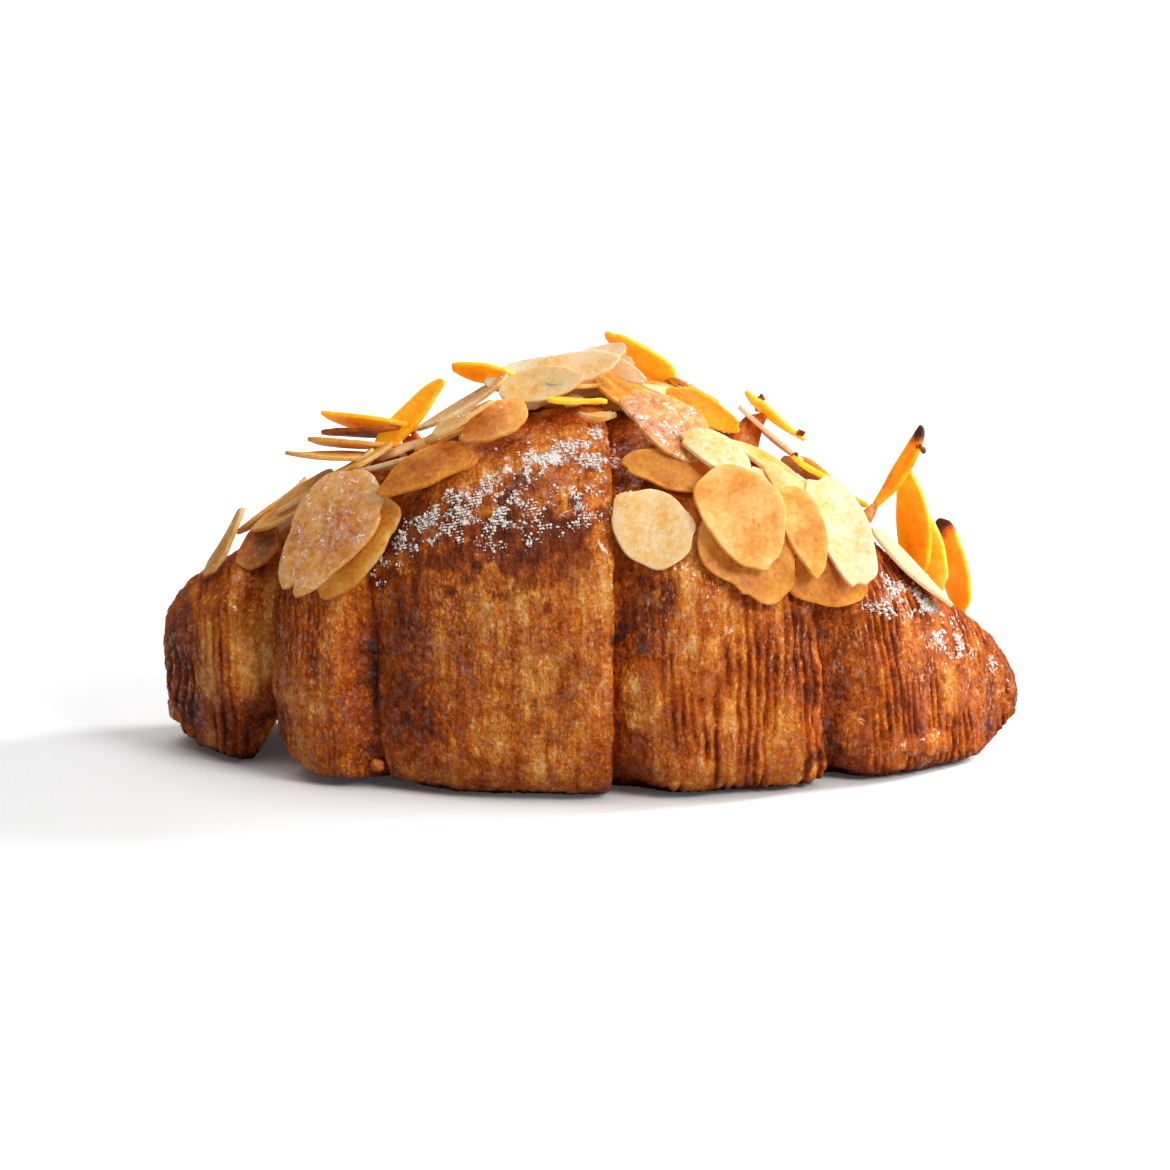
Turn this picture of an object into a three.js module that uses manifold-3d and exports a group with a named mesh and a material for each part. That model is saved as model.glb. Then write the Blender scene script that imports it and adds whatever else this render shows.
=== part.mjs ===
// An almond croissant: a laminated loaf rolled in five wraps, with sliced almonds baked onto its crown.
// Millimetres, +Z up. X runs along the loaf, -Y is the outer side of the bend, and it stands on Z = 0.
import * as THREE from "three";
import { ParametricGeometry } from "three/addons/geometries/ParametricGeometry.js";
import { mergeVertices } from "three/addons/utils/BufferGeometryUtils.js";
import Module from "manifold-3d";

// Loaf: the crown is its highest point, and each tip has its own size and its own bend backwards
const CROWN = { at: 3, height: 64.5, halfWidth: 33 };
const LEFT_TIP = { end: -65.5, height: 31.5, halfWidth: 15.5, bend: 18 };
const RIGHT_TIP = { end: 65.5, height: 20, halfWidth: 13, bend: 19 };
const BEND_FROM = -6;
const HEIGHT_FALL = 1.4;
const WIDTH_FALL = 1.8;

// Section: a wide arch above the waist, a squarer foot below it, and a base cut flat by the tray
const WAIST_SHARE = 0.38;
const SHOULDER_POWER = 2.5;
const FOOT_POWER = 4.5;
const FOOT_SINK = 2.5;

// Lower down, the wraps away from the crown slip towards +X
const LEAN = { below: 34, share: 0.08, start: 6, full: 26 };

// Foot: places along X and how far the base stands off the tray there, in an arch at the left and at the tips
const FOOT_LIFT = [
  [-76, 12], [-71, 6], [-69, 3.2], [-67, 1.2], [-64.5, 0.4], [-62, 0], [-58.3, 0], [-57.3, 2], [-55.5, 6.5],
  [-53.4, 9], [-51.5, 6.5], [-50, 3], [-47, 0.3], [-45, 0], [58, 0], [62.7, 0.4], [66, 0.9], [69.5, 2.5],
  [72, 4.5], [76, 8],
];

// Beside the arch, the valley of the left tip runs in under the loaf
const UNDERCUT = { at: -49.5, half: 6.5, low: 2, high: 15, depth: 5 };

// Each tip is closed by rings that go out from its end and shrink, from the full section to a point
const TIP_RINGS = [
  { out: 0, scale: 1 },
  { out: 1.6, scale: 0.93 },
  { out: 3.6, scale: 0.74 },
  { out: 4.6, scale: 0.4 },
  { out: 4, scale: 0 },
];

// Free edges of the wraps, left to right: station, facing, the round shoulder that droops to the edge,
// the step down past it, and the run of the valley that climbs back along the next wrap
const WRAP_EDGES = [
  { at: -45.5, faces: -1, shoulder: 6, droop: 2.2, step: 6.5, run: 9 },
  { at: -29.5, faces: -1, shoulder: 11, droop: 2.6, step: 1.2, run: 7 },
  { at: 1, faces: 1, shoulder: 3, droop: 0.5, step: 3.2, run: 10 },
  { at: 29, faces: 1, shoulder: 7, droop: 1.6, step: 2.6, run: 10 },
];
const LIP = { overhang: 0.9, round: 0.8 };

// Layer ridges round the loaf, broad lumps of the crust, and the facets that draw them
const RIDGE = { depth: 0.7, pitch: 5.6 };
const TALL_LUMP = { height: 0.7, around: 3, along: 0.09, from: 0 };
const LOW_LUMP = { height: 0.5, around: -2, along: -0.13, from: 1 };
const RELIEF_FADE = { from: 0.4, to: 0.8 };
const SMOOTH_PITCH = 4;
const FACETS_AROUND = 24;

// One almond slice: its size, how much it narrows to one end, how far it curls and the share of the curl that
// its middle drops by, and the cream that holds it
const SLICE = { length: 22, width: 12.5, thickness: 1.1, narrowing: 0.22, curl: 0.4, drop: 0.4, corners: 7 };
const CREAM = { radius: 1.8, spread: 2.4, depth: 6, sides: 3, under: 0.4 };

// Where a raised slice's heel lies, as a share of its half length, and how high a slice lies that rests flat
const HEEL = 0.8;
const REST_LIFT = 0.6;

// Slices over the ridge and the inner side: two rows spread along the loaf, drawn from ranges
const INNER_SLICES = {
  count: 12, from: -52, to: 52, seed: 11, rows: [103, 126], waver: 8, roll: [-14, 14], lift: [0.6, 2.4],
  size: [0.75, 1.05], slim: [0.95, 1.3],
};

// Slices under those laid by hand: three rows, each higher than the one before, from the line where the cover
// of the crown starts. The line is given as stations and angles
const UNDER_SLICES = {
  count: 12, from: -47, to: 44, seed: 5, rows: [3, 15, 27], waver: 5, roll: [-8, 8], lifts: [0.8, 2.2, 3.6],
  size: [0.62, 0.86], slim: [0.95, 1.25], curl: -0.8,
};
const COVER_LINE = [
  [-56, 74], [-45, 70], [-33, 68], [-24, 72], [-14, 82], [-4, 88], [4, 86], [12, 74], [28, 66], [44, 72],
];

// The draw steps through a long cycle of whole numbers
const DRAW = { step: 16807, cycle: 2147483647 };

// Distance over which a seat's directions are measured, and the gap at which points are one
const SEAT_STEP = 0.01;
const WELD = 1e-3;

const lerp = THREE.MathUtils.lerp;
const smoothstep = THREE.MathUtils.smoothstep;
const radians = THREE.MathUtils.degToRad;

// A value between the two listed places on either side of x
function between(list, x) {
  const next = list.findIndex(([place]) => place > x);
  if (next === 0) return list[0][1];
  if (next < 0) return list[list.length - 1][1];
  const [[fromPlace, from], [toPlace, to]] = list.slice(next - 1, next + 1);
  return lerp(from, to, (x - fromPlace) / (toPlace - fromPlace));
}

const wasm = await Module();
wasm.setup();

// Loaf form: height, half width and bend at a station along X
const tipOf = (x) => (x < CROWN.at ? LEFT_TIP : RIGHT_TIP);
const reach = (x) => Math.abs((x - CROWN.at) / (tipOf(x).end - CROWN.at));
const heightAt = (x) => lerp(CROWN.height, tipOf(x).height, reach(x) ** HEIGHT_FALL);
const halfWidthAt = (x) => lerp(CROWN.halfWidth, tipOf(x).halfWidth, reach(x) ** WIDTH_FALL);

function bendAt(x) {
  const tip = x < BEND_FROM ? LEFT_TIP : RIGHT_TIP;
  const length = tip.end - BEND_FROM;
  const share = (x - BEND_FROM) / length;
  return { y: tip.bend * share ** 2, slope: (2 * tip.bend * share) / length };
}

// How far the surface lies below the plump of a wrap: it droops to each free edge, steps down and climbs back
function valleyAt(x) {
  let depth = 0;
  for (const { at, faces, shoulder, droop, step, run } of WRAP_EDGES) {
    const past = (x - at) * faces;
    if (past > 0) depth += (droop + step) * (1 - smoothstep(past, 0, run));
    else depth += droop * Math.max(0, 1 + past / shoulder) ** 2;
  }
  return depth;
}

function lumpsAt(x, angle) {
  const waveOf = ({ height, around, along, from }) => height * Math.sin(from + around * angle + along * x);
  return waveOf(TALL_LUMP) + waveOf(LOW_LUMP);
}

// Relief fades out under the loaf, which baked on a flat tray
function reliefShare(angle) {
  if (Math.sin(angle) > 0) return 1;
  return smoothstep(Math.abs(Math.cos(angle)), RELIEF_FADE.from, RELIEF_FADE.to);
}

// How deep the left tip's valley is cut under the loaf at a height
function undercutAt(x, z) {
  if (x > WRAP_EDGES[0].at) return 0;
  const near = Math.max(0, 1 - ((x - UNDERCUT.at) / UNDERCUT.half) ** 2);
  return UNDERCUT.depth * near * (1 - smoothstep(z, UNDERCUT.low, UNDERCUT.high));
}

function leanAt(x, z) {
  const share = LEAN.share * smoothstep(Math.abs(x - CROWN.at), LEAN.start, LEAN.full);
  return share * Math.max(0, LEAN.below - z);
}

// A point of the crust. Angle 0 is the outer side, a quarter turn is the top. Inset is cut from the radius
function crustPoint(x, angle, inset, scale = 1) {
  const waist = WAIST_SHARE * heightAt(x);
  const up = Math.sin(angle) > 0;
  const tall = up ? heightAt(x) - waist : waist + FOOT_SINK;
  const power = up ? SHOULDER_POWER : FOOT_POWER;
  const across = Math.abs(Math.cos(angle) / halfWidthAt(x)) ** power;
  const upright = Math.abs(Math.sin(angle) / tall) ** power;
  const full = (across + upright) ** (-1 / power) + reliefShare(angle) * (lumpsAt(x, angle) - inset);
  const { y, slope } = bendAt(x);
  const pointOf = (radius, floor) => {
    const out = (radius * Math.cos(angle)) / Math.hypot(1, slope);
    const z = Math.max(floor, waist + radius * Math.sin(angle));
    return new THREE.Vector3(x + slope * out + leanAt(x, z), y - out, z);
  };
  const plain = pointOf(scale * full, 0);
  const cut = reliefShare(angle) * undercutAt(x, plain.z);
  return pointOf(scale * (full - cut), between(FOOT_LIFT, plain.x));
}

// Rings of the loaf: a closed tip, ridged or smooth stretches between the lips of the wraps, and a closed tip
function tipRings(end, outward) {
  return TIP_RINGS.map(({ out, scale }) => ({ x: end + out * outward, inset: 0, scale }));
}

function stretchRings(from, to, ridged) {
  const pitch = ridged ? RIDGE.pitch / 2 : SMOOTH_PITCH;
  const count = Math.max(2, Math.round((to - from) / pitch));
  const rings = [];
  for (let i = 1; i < count; i++) {
    const x = lerp(from, to, i / count);
    rings.push({ x, inset: valleyAt(x) + (ridged && i % 2 ? RIDGE.depth : 0), scale: 1 });
  }
  return rings;
}

function lipRings({ at, faces, droop, step }) {
  const rings = [
    { x: at, inset: droop, scale: 1 },
    { x: at + LIP.overhang * faces, inset: droop + LIP.round, scale: 1 },
    { x: at, inset: droop + step, scale: 1 },
  ];
  return faces > 0 ? rings : rings.reverse();
}

// The middle wrap, between edges that face away from each other, has a smooth skin
function loafRings() {
  const rings = tipRings(LEFT_TIP.end, -1).reverse();
  let from = LEFT_TIP.end;
  WRAP_EDGES.forEach((edge, i) => {
    const middleWrap = i > 0 && WRAP_EDGES[i - 1].faces < 0 && edge.faces > 0;
    rings.push(...stretchRings(from, edge.at, !middleWrap), ...lipRings(edge));
    from = edge.at;
  });
  rings.push(...stretchRings(from, RIGHT_TIP.end, true), ...tipRings(RIGHT_TIP.end, 1));
  return rings;
}

function loafGeometry() {
  const rings = loafRings();
  const surface = (u, v, target) => {
    const ring = rings[Math.round(v * (rings.length - 1))];
    target.copy(crustPoint(ring.x, -2 * Math.PI * u, ring.inset, ring.scale));
  };
  return new ParametricGeometry(surface, FACETS_AROUND, rings.length - 1);
}

// An almond slice: an egg-shaped outline, extruded, then curled along its length
function sliceGeometry(length, width, curl) {
  const outline = [];
  for (let i = 0; i < SLICE.corners; i++) {
    const turn = (2 * Math.PI * i) / SLICE.corners;
    const half = (width / 2) * (1 - SLICE.narrowing * Math.cos(turn));
    outline.push(new THREE.Vector2((length / 2) * Math.cos(turn), half * Math.sin(turn)));
  }
  const geometry = new THREE.ExtrudeGeometry(new THREE.Shape(outline), {
    depth: SLICE.thickness,
    bevelEnabled: false,
  }).translate(0, 0, -SLICE.thickness / 2);
  const points = geometry.getAttribute("position");
  for (let i = 0; i < points.count; i++) {
    const share = points.getX(i) / (length / 2);
    points.setZ(i, points.getZ(i) + curl * (share ** 2 - SLICE.drop));
  }
  return geometry;
}

// A slice's seat: a point of the crust with the directions along the loaf, up its side, and out of it
function seat(along, around) {
  const angle = radians(around);
  const point = crustPoint(along, angle, valleyAt(along));
  const alongAxis = crustPoint(along + SEAT_STEP, angle, valleyAt(along)).sub(point).normalize();
  const upAxis = crustPoint(along, angle + SEAT_STEP, valleyAt(along)).sub(point).normalize();
  const outAxis = new THREE.Vector3().crossVectors(alongAxis, upAxis).normalize();
  upAxis.crossVectors(outAxis, alongAxis);
  return new THREE.Matrix4().makeBasis(alongAxis, upAxis, outAxis).setPosition(point);
}

// Spin turns the narrow end from +X up the side, pitch raises that end off the crust, roll tips the slice,
// and lift is the height of its heel, where a dab of almond cream joins it to the crust
function placedSlice(item) {
  const { along, around, spin, pitch = 0, roll = 0, lift = REST_LIFT } = item;
  const { size = 1, slim = 1, curl = SLICE.curl } = item;
  const length = SLICE.length * size;
  const heel = pitch ? (HEEL * length) / 2 : 0;
  const turned = seat(along, around).multiply(new THREE.Matrix4().makeRotationZ(radians(spin)));
  const placed = turned
    .clone()
    .multiply(new THREE.Matrix4().makeTranslation(0, 0, lift + heel * Math.sin(radians(pitch))))
    .multiply(new THREE.Matrix4().makeRotationY(-radians(pitch)))
    .multiply(new THREE.Matrix4().makeRotationX(radians(roll)));
  const slice = sliceGeometry(length, SLICE.width * size * slim, curl).applyMatrix4(placed);
  const top = lift - CREAM.under;
  const height = top + CREAM.depth;
  const cream = new THREE.CylinderGeometry(CREAM.radius, CREAM.spread, height, CREAM.sides)
    .rotateX(Math.PI / 2)
    .translate(-heel * Math.cos(radians(pitch)), 0, top - height / 2)
    .applyMatrix4(turned);
  return [slice, cream];
}

// Slices on the outer side and the crown, each laid by hand
const LAID_SLICES = [
  // Right of the crown, lowest layer first
  { along: 30.5, around: 33, spin: 3, pitch: 3, roll: 11, lift: 4.1, size: 0.76, slim: 0.9, curl: -1 },
  { along: 20, around: 34, spin: -47, pitch: 2, roll: 6, lift: 1.1, size: 0.84, slim: 1.45, curl: -1 },
  { along: 9.5, around: 52, spin: 176, pitch: -6, roll: -11, lift: 1.3, size: 0.68, slim: 0.85, curl: -1 },
  { along: 9, around: 62.5, spin: 157, pitch: 6, roll: -15, lift: 3.3, size: 0.72, slim: 1.25, curl: -1 },
  { along: 6.5, around: 36.5, spin: 143, pitch: -1, roll: -5, lift: 2.1, size: 0.68, slim: 1.4, curl: -1 },
  { along: 15.5, around: 56, spin: 161, roll: -2, lift: 4.4, size: 0.62, curl: -1 },
  { along: 25, around: 54.5, spin: -60, pitch: -5, roll: 12, lift: 3.7, size: 0.46, slim: 0.6, curl: -1 },
  { along: 26.5, around: 42.5, spin: -59, pitch: -3, roll: 8, lift: 4.9, size: 0.76, slim: 0.8, curl: -1 },
  { along: 18, around: 40.5, spin: -53, pitch: -3, roll: 9, lift: 4.9, size: 0.86, slim: 1.25, curl: -1 },
  { along: 32.5, around: 47.5, spin: -64, pitch: 1, roll: 17, lift: 5.6, size: 1.02, slim: 0.8, curl: -1 },
  { along: 16, around: 76, spin: -22, pitch: -2, roll: 59, lift: 3.5, size: 0.64, slim: 0.6 },
  { along: 28.5, around: 95.5, spin: -16, pitch: -6, roll: 4, lift: 5.7, size: 0.64 },
  { along: 28, around: 95.5, spin: -16, pitch: -5, roll: -1, lift: 8.1, size: 0.58 },
  { along: 34, around: 84, spin: -24, pitch: 3, roll: 2, lift: 4.5, size: 0.36, slim: 1.05 },
  { along: 40.5, around: 82, spin: -28, pitch: 2, roll: 3, lift: 3.2, size: 0.38, slim: 1.05 },
  // Upright on the right shoulder
  { along: 49, around: 57.5, spin: -41, roll: -3, lift: 0.9, size: 0.88, slim: 0.95 },
  { along: 43, around: 76, spin: -8, pitch: 97, roll: -7, lift: 6.3, size: 0.72, slim: 0.85 },
  { along: 50.5, around: 82, spin: -21, pitch: 132, roll: 19, lift: 1.3, size: 0.88, slim: 0.85 },
  { along: 55, around: 85, spin: -20, pitch: 136, roll: 40, lift: 1.2, size: 0.72, slim: 0.6 },
  { along: 59, around: 87.5, spin: -20, pitch: 137, roll: 14, lift: 1.5, size: 0.8, slim: 0.9 },
  // Crown
  { along: -9, around: 95, spin: 30, roll: 6, lift: 1.6, size: 0.9, slim: 1.2 },
  { along: 3, around: 93, spin: -40, roll: 8, lift: 1.8, size: 0.9, slim: 1.2 },
  { along: -3, around: 87, spin: 100, roll: 14, lift: 3.4, size: 0.8, slim: 1.15 },
  { along: 7.5, around: 83, spin: 15, roll: 14, lift: 2.6, size: 0.8, slim: 1.1 },
  { along: -2, around: 70.5, spin: -4, pitch: -8, roll: -20, lift: 3.4, size: 0.46, slim: 0.85 },
  { along: -7, around: 77, spin: -4, roll: 42, lift: 5.2, size: 0.66, slim: 0.8 },
  { along: -1, around: 80, spin: -12, roll: 40, lift: 6.6, size: 0.62, slim: 0.85 },
  { along: 4.5, around: 81, spin: -45, pitch: -11, roll: 62, lift: 8.2, size: 0.4, slim: 0.6 },
  { along: -9, around: 92, spin: 8, roll: 36, lift: 6.2, size: 0.7, slim: 0.85 },
  { along: 3, around: 94, spin: 5, pitch: 13, roll: 32, lift: 8.5, size: 0.36, slim: 1.15 },
  { along: 1.5, around: 97, spin: -15, roll: 42, lift: 7, size: 0.72, slim: 0.9 },
  { along: 7.5, around: 97.5, spin: 171, pitch: 21, roll: 30, lift: 4.8, size: 0.68 },
  { along: -16, around: 91, spin: 186, pitch: 22, roll: 30, lift: 6.5, size: 0.5, slim: 0.9 },
  // Left of the crown, from the crown outwards
  { along: -13.5, around: 64.5, spin: -161, pitch: -4, roll: -17, lift: 4, size: 0.56, slim: 1.05, curl: -1 },
  { along: -17, around: 64.5, spin: 20, pitch: 6, roll: -12, lift: 5.3, size: 0.52, slim: 0.7 },
  { along: -20, around: 87.5, spin: 13, pitch: 14, roll: 6, lift: 2.3, size: 0.84 },
  { along: -22.5, around: 57, spin: 196, pitch: 8, roll: -13, lift: 1.6, size: 0.76, slim: 0.75, curl: -1 },
  { along: -26.5, around: 66.5, spin: -14, roll: -34, lift: 2.4, size: 0.96, slim: 0.6 },
  { along: -28, around: 92.5, spin: 15, pitch: 26, roll: 44, lift: 4.2, size: 0.76, slim: 0.6 },
  { along: -34, around: 92.5, spin: 203, pitch: 35, roll: 8, lift: 4.2, size: 0.76 },
  { along: -35.5, around: 92, spin: 204, pitch: 28, roll: 6, lift: 3.2, size: 0.72 },
  { along: -37, around: 89, spin: 205, pitch: 33, roll: 2, lift: 1.2, size: 0.78 },
  { along: -39, around: 81, spin: 206, pitch: 35, roll: -1, lift: 1.8, size: 0.72 },
  { along: -41, around: 78, spin: 15, roll: -4, lift: 2.4, size: 0.9, slim: 1.1 },
  { along: -33, around: 46, spin: -129, pitch: 1, roll: -6, lift: 1.5, size: 0.92, slim: 1.3, curl: -1 },
  { along: -36, around: 48.5, spin: -132, roll: -11, lift: 2.4, size: 1.12, slim: 1.1, curl: -1 },
  { along: -45, around: 74, spin: 200, roll: -10, lift: 4, size: 0.8 },
  { along: -50.5, around: 63, spin: 226, pitch: -9, roll: -31, lift: 3.8, size: 0.42, slim: 1.4 },
  { along: -47, around: 92, spin: 20, pitch: 6, lift: 6, size: 0.8 },
  { along: -49, around: 101, spin: 26, pitch: -3, roll: 2, lift: 6.5, size: 0.56 },
  { along: -49, around: 84.5, spin: 31, pitch: 7, roll: -5, lift: 7.6, size: 0.68 },
  { along: -56.5, around: 65.5, spin: 48, pitch: 27, lift: 0.4, size: 0.6 },
];

// A repeatable run of numbers from 0 to 1
function seededDraw(seed) {
  let state = seed;
  return () => {
    state = (state * DRAW.step) % DRAW.cycle;
    return state / DRAW.cycle;
  };
}

function innerSlices() {
  const { count, from, to, seed, rows, waver, roll, lift, size, slim } = INNER_SLICES;
  const draw = seededDraw(seed);
  return Array.from({ length: count }, (_, i) => ({
    along: lerp(from, to, (i + draw()) / count),
    around: rows[i % rows.length] + lerp(-waver, waver, draw()),
    spin: lerp(0, 360, draw()),
    roll: lerp(...roll, draw()),
    lift: lerp(...lift, draw()),
    size: lerp(...size, draw()),
    slim: lerp(...slim, draw()),
  }));
}

function underSlices() {
  const { count, from, to, seed, rows, waver, roll, lifts, size, slim, curl } = UNDER_SLICES;
  const draw = seededDraw(seed);
  return Array.from({ length: count }, (_, i) => {
    const along = lerp(from, to, (i + draw()) / count);
    return {
      along,
      around: between(COVER_LINE, along) + rows[i % rows.length] + lerp(-waver, waver, draw()),
      spin: lerp(0, 360, draw()),
      roll: lerp(...roll, draw()),
      lift: lifts[i % lifts.length],
      size: lerp(...size, draw()),
      slim: lerp(...slim, draw()),
      curl,
    };
  });
}

// A closed triangle mesh as a solid
function solidOf(geometry) {
  geometry.deleteAttribute("normal");
  geometry.deleteAttribute("uv");
  const merged = mergeVertices(geometry, WELD);
  const triangles = [];
  const corners = merged.index.array;
  for (let i = 0; i < corners.length; i += 3) {
    const [a, b, c] = corners.slice(i, i + 3);
    if (a !== b && b !== c && c !== a) triangles.push(a, b, c);
  }
  return new wasm.Manifold(
    new wasm.Mesh({
      numProp: 3,
      vertProperties: merged.getAttribute("position").array,
      triVerts: new Uint32Array(triangles),
    }),
  );
}

// The fused solid's outer skin: hollows sealed between slices are filled, and loose scraps are dropped
function outerSkin(solid) {
  return solid.decompose().reduce((largest, body) => (body.volume() > largest.volume() ? body : largest));
}

function geometryOf(solid) {
  const { vertProperties, triVerts } = solid.getMesh();
  const geometry = new THREE.BufferGeometry();
  geometry.setAttribute("position", new THREE.BufferAttribute(vertProperties, 3));
  geometry.setIndex(new THREE.BufferAttribute(triVerts, 1));
  geometry.computeVertexNormals();
  return geometry;
}

const loaf = solidOf(loafGeometry());
const toppings = [...LAID_SLICES, ...underSlices(), ...innerSlices()].flatMap(placedSlice);
const fused = toppings.reduce((solid, piece) => solid.add(solidOf(piece)), loaf);

// Points closer than the weld become one, which can cut off a last scrap
const welded = solidOf(geometryOf(outerSkin(fused)));
const crust = new THREE.MeshStandardMaterial({ color: 0x9a5a26, roughness: 0.5, metalness: 0 });
const croissant = new THREE.Mesh(geometryOf(outerSkin(welded)), crust);
croissant.name = "almond_croissant";

const part = new THREE.Group();
part.add(croissant);

export default part;
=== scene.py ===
# %% [markdown]
# # An almond croissant
# A croissant is one strip of laminated dough, rolled so that each turn wraps over the one before it, and
# bent a little at the ends. This one is baked dark, with sliced almonds and icing sugar on its crown.
# Everything below is laid over that solid in the same frame, and stands for it in the picture. Sizes are
# written in millimetres, and MM turns them into metres.

# %% Load the frame
import math

import bpy
import numpy as np
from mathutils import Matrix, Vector


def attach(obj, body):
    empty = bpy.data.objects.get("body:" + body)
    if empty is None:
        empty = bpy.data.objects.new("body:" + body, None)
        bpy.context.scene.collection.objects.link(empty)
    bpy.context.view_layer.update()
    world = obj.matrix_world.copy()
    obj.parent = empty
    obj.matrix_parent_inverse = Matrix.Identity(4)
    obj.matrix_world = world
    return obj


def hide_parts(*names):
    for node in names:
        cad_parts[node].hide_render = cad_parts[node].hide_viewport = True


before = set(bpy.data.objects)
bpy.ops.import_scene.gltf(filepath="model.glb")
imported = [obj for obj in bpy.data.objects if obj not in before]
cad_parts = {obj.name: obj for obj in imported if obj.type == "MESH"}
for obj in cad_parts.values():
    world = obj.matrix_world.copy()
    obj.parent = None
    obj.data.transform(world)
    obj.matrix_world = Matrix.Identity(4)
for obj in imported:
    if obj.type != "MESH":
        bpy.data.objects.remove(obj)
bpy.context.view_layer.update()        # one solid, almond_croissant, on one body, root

MM = 0.001


# %% [markdown]
# ## Camera
# The picture is a square, taken from a little above the loaf and square on to its long side. A camera far
# away with a long lens gives the same flat perspective. The lens follows from how many pixels one metre
# takes up at the middle of the loaf.

# %% Camera
PICTURE_SIDE = 1170
PIXELS_PER_METRE = 5896
VIEW_DISTANCE = 550 * MM
VIEW_ELEVATION = math.radians(11)
CLIP_START = 10 * MM
AIM = Vector((-0.85, 0, 30.7)) * MM

bpy.ops.object.select_all(action="DESELECT")
step_back = Vector((0, -math.cos(VIEW_ELEVATION), math.sin(VIEW_ELEVATION))) * VIEW_DISTANCE
bpy.ops.object.camera_add(location=AIM + step_back, rotation=(math.pi / 2 - VIEW_ELEVATION, 0, 0))
camera = bpy.context.object
camera.name = "camera"
camera.data.lens = camera.data.sensor_width * VIEW_DISTANCE * PIXELS_PER_METRE / PICTURE_SIDE
camera.data.clip_start = CLIP_START
bpy.context.scene.camera = camera
print("lens:", round(camera.data.lens, 1), "mm")

# %% [markdown]
# ## Light
# A bright window-like light stands to the right and a little behind, so that thin slices glow with the
# light behind them, and a soft shadow falls to the left. A wide, weaker light in front on the right
# shapes the near wall. Sun lamps would be simpler, but their shadows are even, and an area light's soften
# with distance.

# %% Lights
def add_area_light(name, place, size, power):
    """A square light at a place in millimetres, turned to the middle of the loaf."""
    location = Vector(place) * MM
    turn = (AIM - location).to_track_quat("-Z", "Y").to_euler()
    bpy.ops.object.light_add(type="AREA", location=location, rotation=turn)
    light = bpy.context.object
    light.name = name
    light.data.size = size * MM
    light.data.energy = power


add_area_light("window_light", place=(620, 200, 400), size=200, power=5.0)
add_area_light("front_fill", place=(500, -520, 480), size=300, power=4.4)

# %% [markdown]
# ## Room
# The room round the table is made by nodes, as the materials are. Wiring nodes in code is wordy, so a few
# short helpers come first: one feeds values or links into a node's inputs, one adds a node, one works out
# a sum, and one spreads a range of values over another range. The room is white near the horizon and at
# the ceiling and dim between, because a pale room all round would lay a grey sheen on the crust. Only the
# camera sees the horizon. The Standard view keeps colours as they are set.

# %% Node helpers
def feed(tree, node, inputs):
    """Gives each named input a value, or a link where it is given another node's output."""
    for name, value in inputs.items():
        if isinstance(value, bpy.types.NodeSocket):
            tree.links.new(value, node.inputs[name])
        else:
            node.inputs[name].default_value = value


def add_node(tree, kind, inputs=None, **settings):
    node = tree.nodes.new(kind)
    for name, value in settings.items():
        setattr(node, name, value)
    feed(tree, node, inputs or {})
    return node


def calc(tree, operation, first, second, clamp=False):
    node = add_node(tree, "ShaderNodeMath", {0: first, 1: second}, operation=operation, use_clamp=clamp)
    return node.outputs[0]


def spread(tree, value, low, high, new_low=0.0, new_high=1.0):
    values = {"Value": value, "From Min": low, "From Max": high, "To Min": new_low, "To Max": new_high}
    return add_node(tree, "ShaderNodeMapRange", values).outputs["Result"]


# %% Room
ROOM = {"dim": 0.12, "ceiling": 1.5, "horizon_band": (0.2, 0.06), "ceiling_band": (0.72, 0.9)}
WHITE = (1, 1, 1, 1)
world = bpy.data.worlds.new("white_room")
world.use_nodes = True
room = world.node_tree
direction = add_node(room, "ShaderNodeTexCoord").outputs["Generated"]
upward = add_node(room, "ShaderNodeSeparateXYZ", {"Vector": direction}).outputs["Z"]
seen = add_node(room, "ShaderNodeLightPath").outputs["Is Camera Ray"]
horizon = spread(room, upward, *ROOM["horizon_band"], 0.0, seen)
ceiling = spread(room, upward, *ROOM["ceiling_band"], 0.0, ROOM["ceiling"])
strength = calc(room, "ADD", ceiling, calc(room, "ADD", horizon, ROOM["dim"]))
feed(room, room.nodes["Background"], {"Strength": strength, "Color": WHITE})
bpy.context.scene.world = world
bpy.context.scene.view_settings.view_transform = "Standard"
print("room:", len(room.nodes), "nodes")

# %% [markdown]
# ## Form of the loaf
# The loaf is described by a few sizes: a crown, two tips, and an arch-shaped section that is cut flat
# where it lay on the tray. The solid follows the same formulas, so a mesh made from them lies on it
# without fitting. A point is found from its station along X, its angle round the loaf (0 at the front, 90
# at the top), and an inset, which is how far the surface lies below the plump form.

# %% Sizes of the loaf, in millimetres
CROWN = {"at": 3, "height": 64.5, "half_width": 33}
LEFT_TIP = {"end": -65.5, "height": 31.5, "half_width": 15.5, "bend": 18}
RIGHT_TIP = {"end": 65.5, "height": 20, "half_width": 13, "bend": 19}
FALL = {"height": 1.4, "half_width": 1.8}
BEND_FROM = -6
WAIST_SHARE = 0.38
SHOULDER_POWER = 2.5
FOOT_POWER = 4.5
FOOT_SINK = 2.5
LEAN = {"below": 34, "share": 0.08, "start": 6, "full": 26}
LUMPS = [
    {"height": 0.7, "round": 3, "along": 0.09, "start": 0},
    {"height": 0.5, "round": -2, "along": -0.13, "start": 1},
]
RELIEF_BAND = (0.4, 0.8)


def smoothstep(value, low, high):
    share = np.clip((value - low) / (high - low), 0, 1)
    return share * share * (3 - 2 * share)


def from_crown(x, key):
    """A size at station x, from its value at the crown to its value at the tip on that side."""
    left = x < CROWN["at"]
    end = np.where(left, LEFT_TIP["end"], RIGHT_TIP["end"])
    share = np.abs((x - CROWN["at"]) / (end - CROWN["at"]))
    return CROWN[key] + (np.where(left, LEFT_TIP[key], RIGHT_TIP[key]) - CROWN[key]) * share ** FALL[key]


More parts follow.
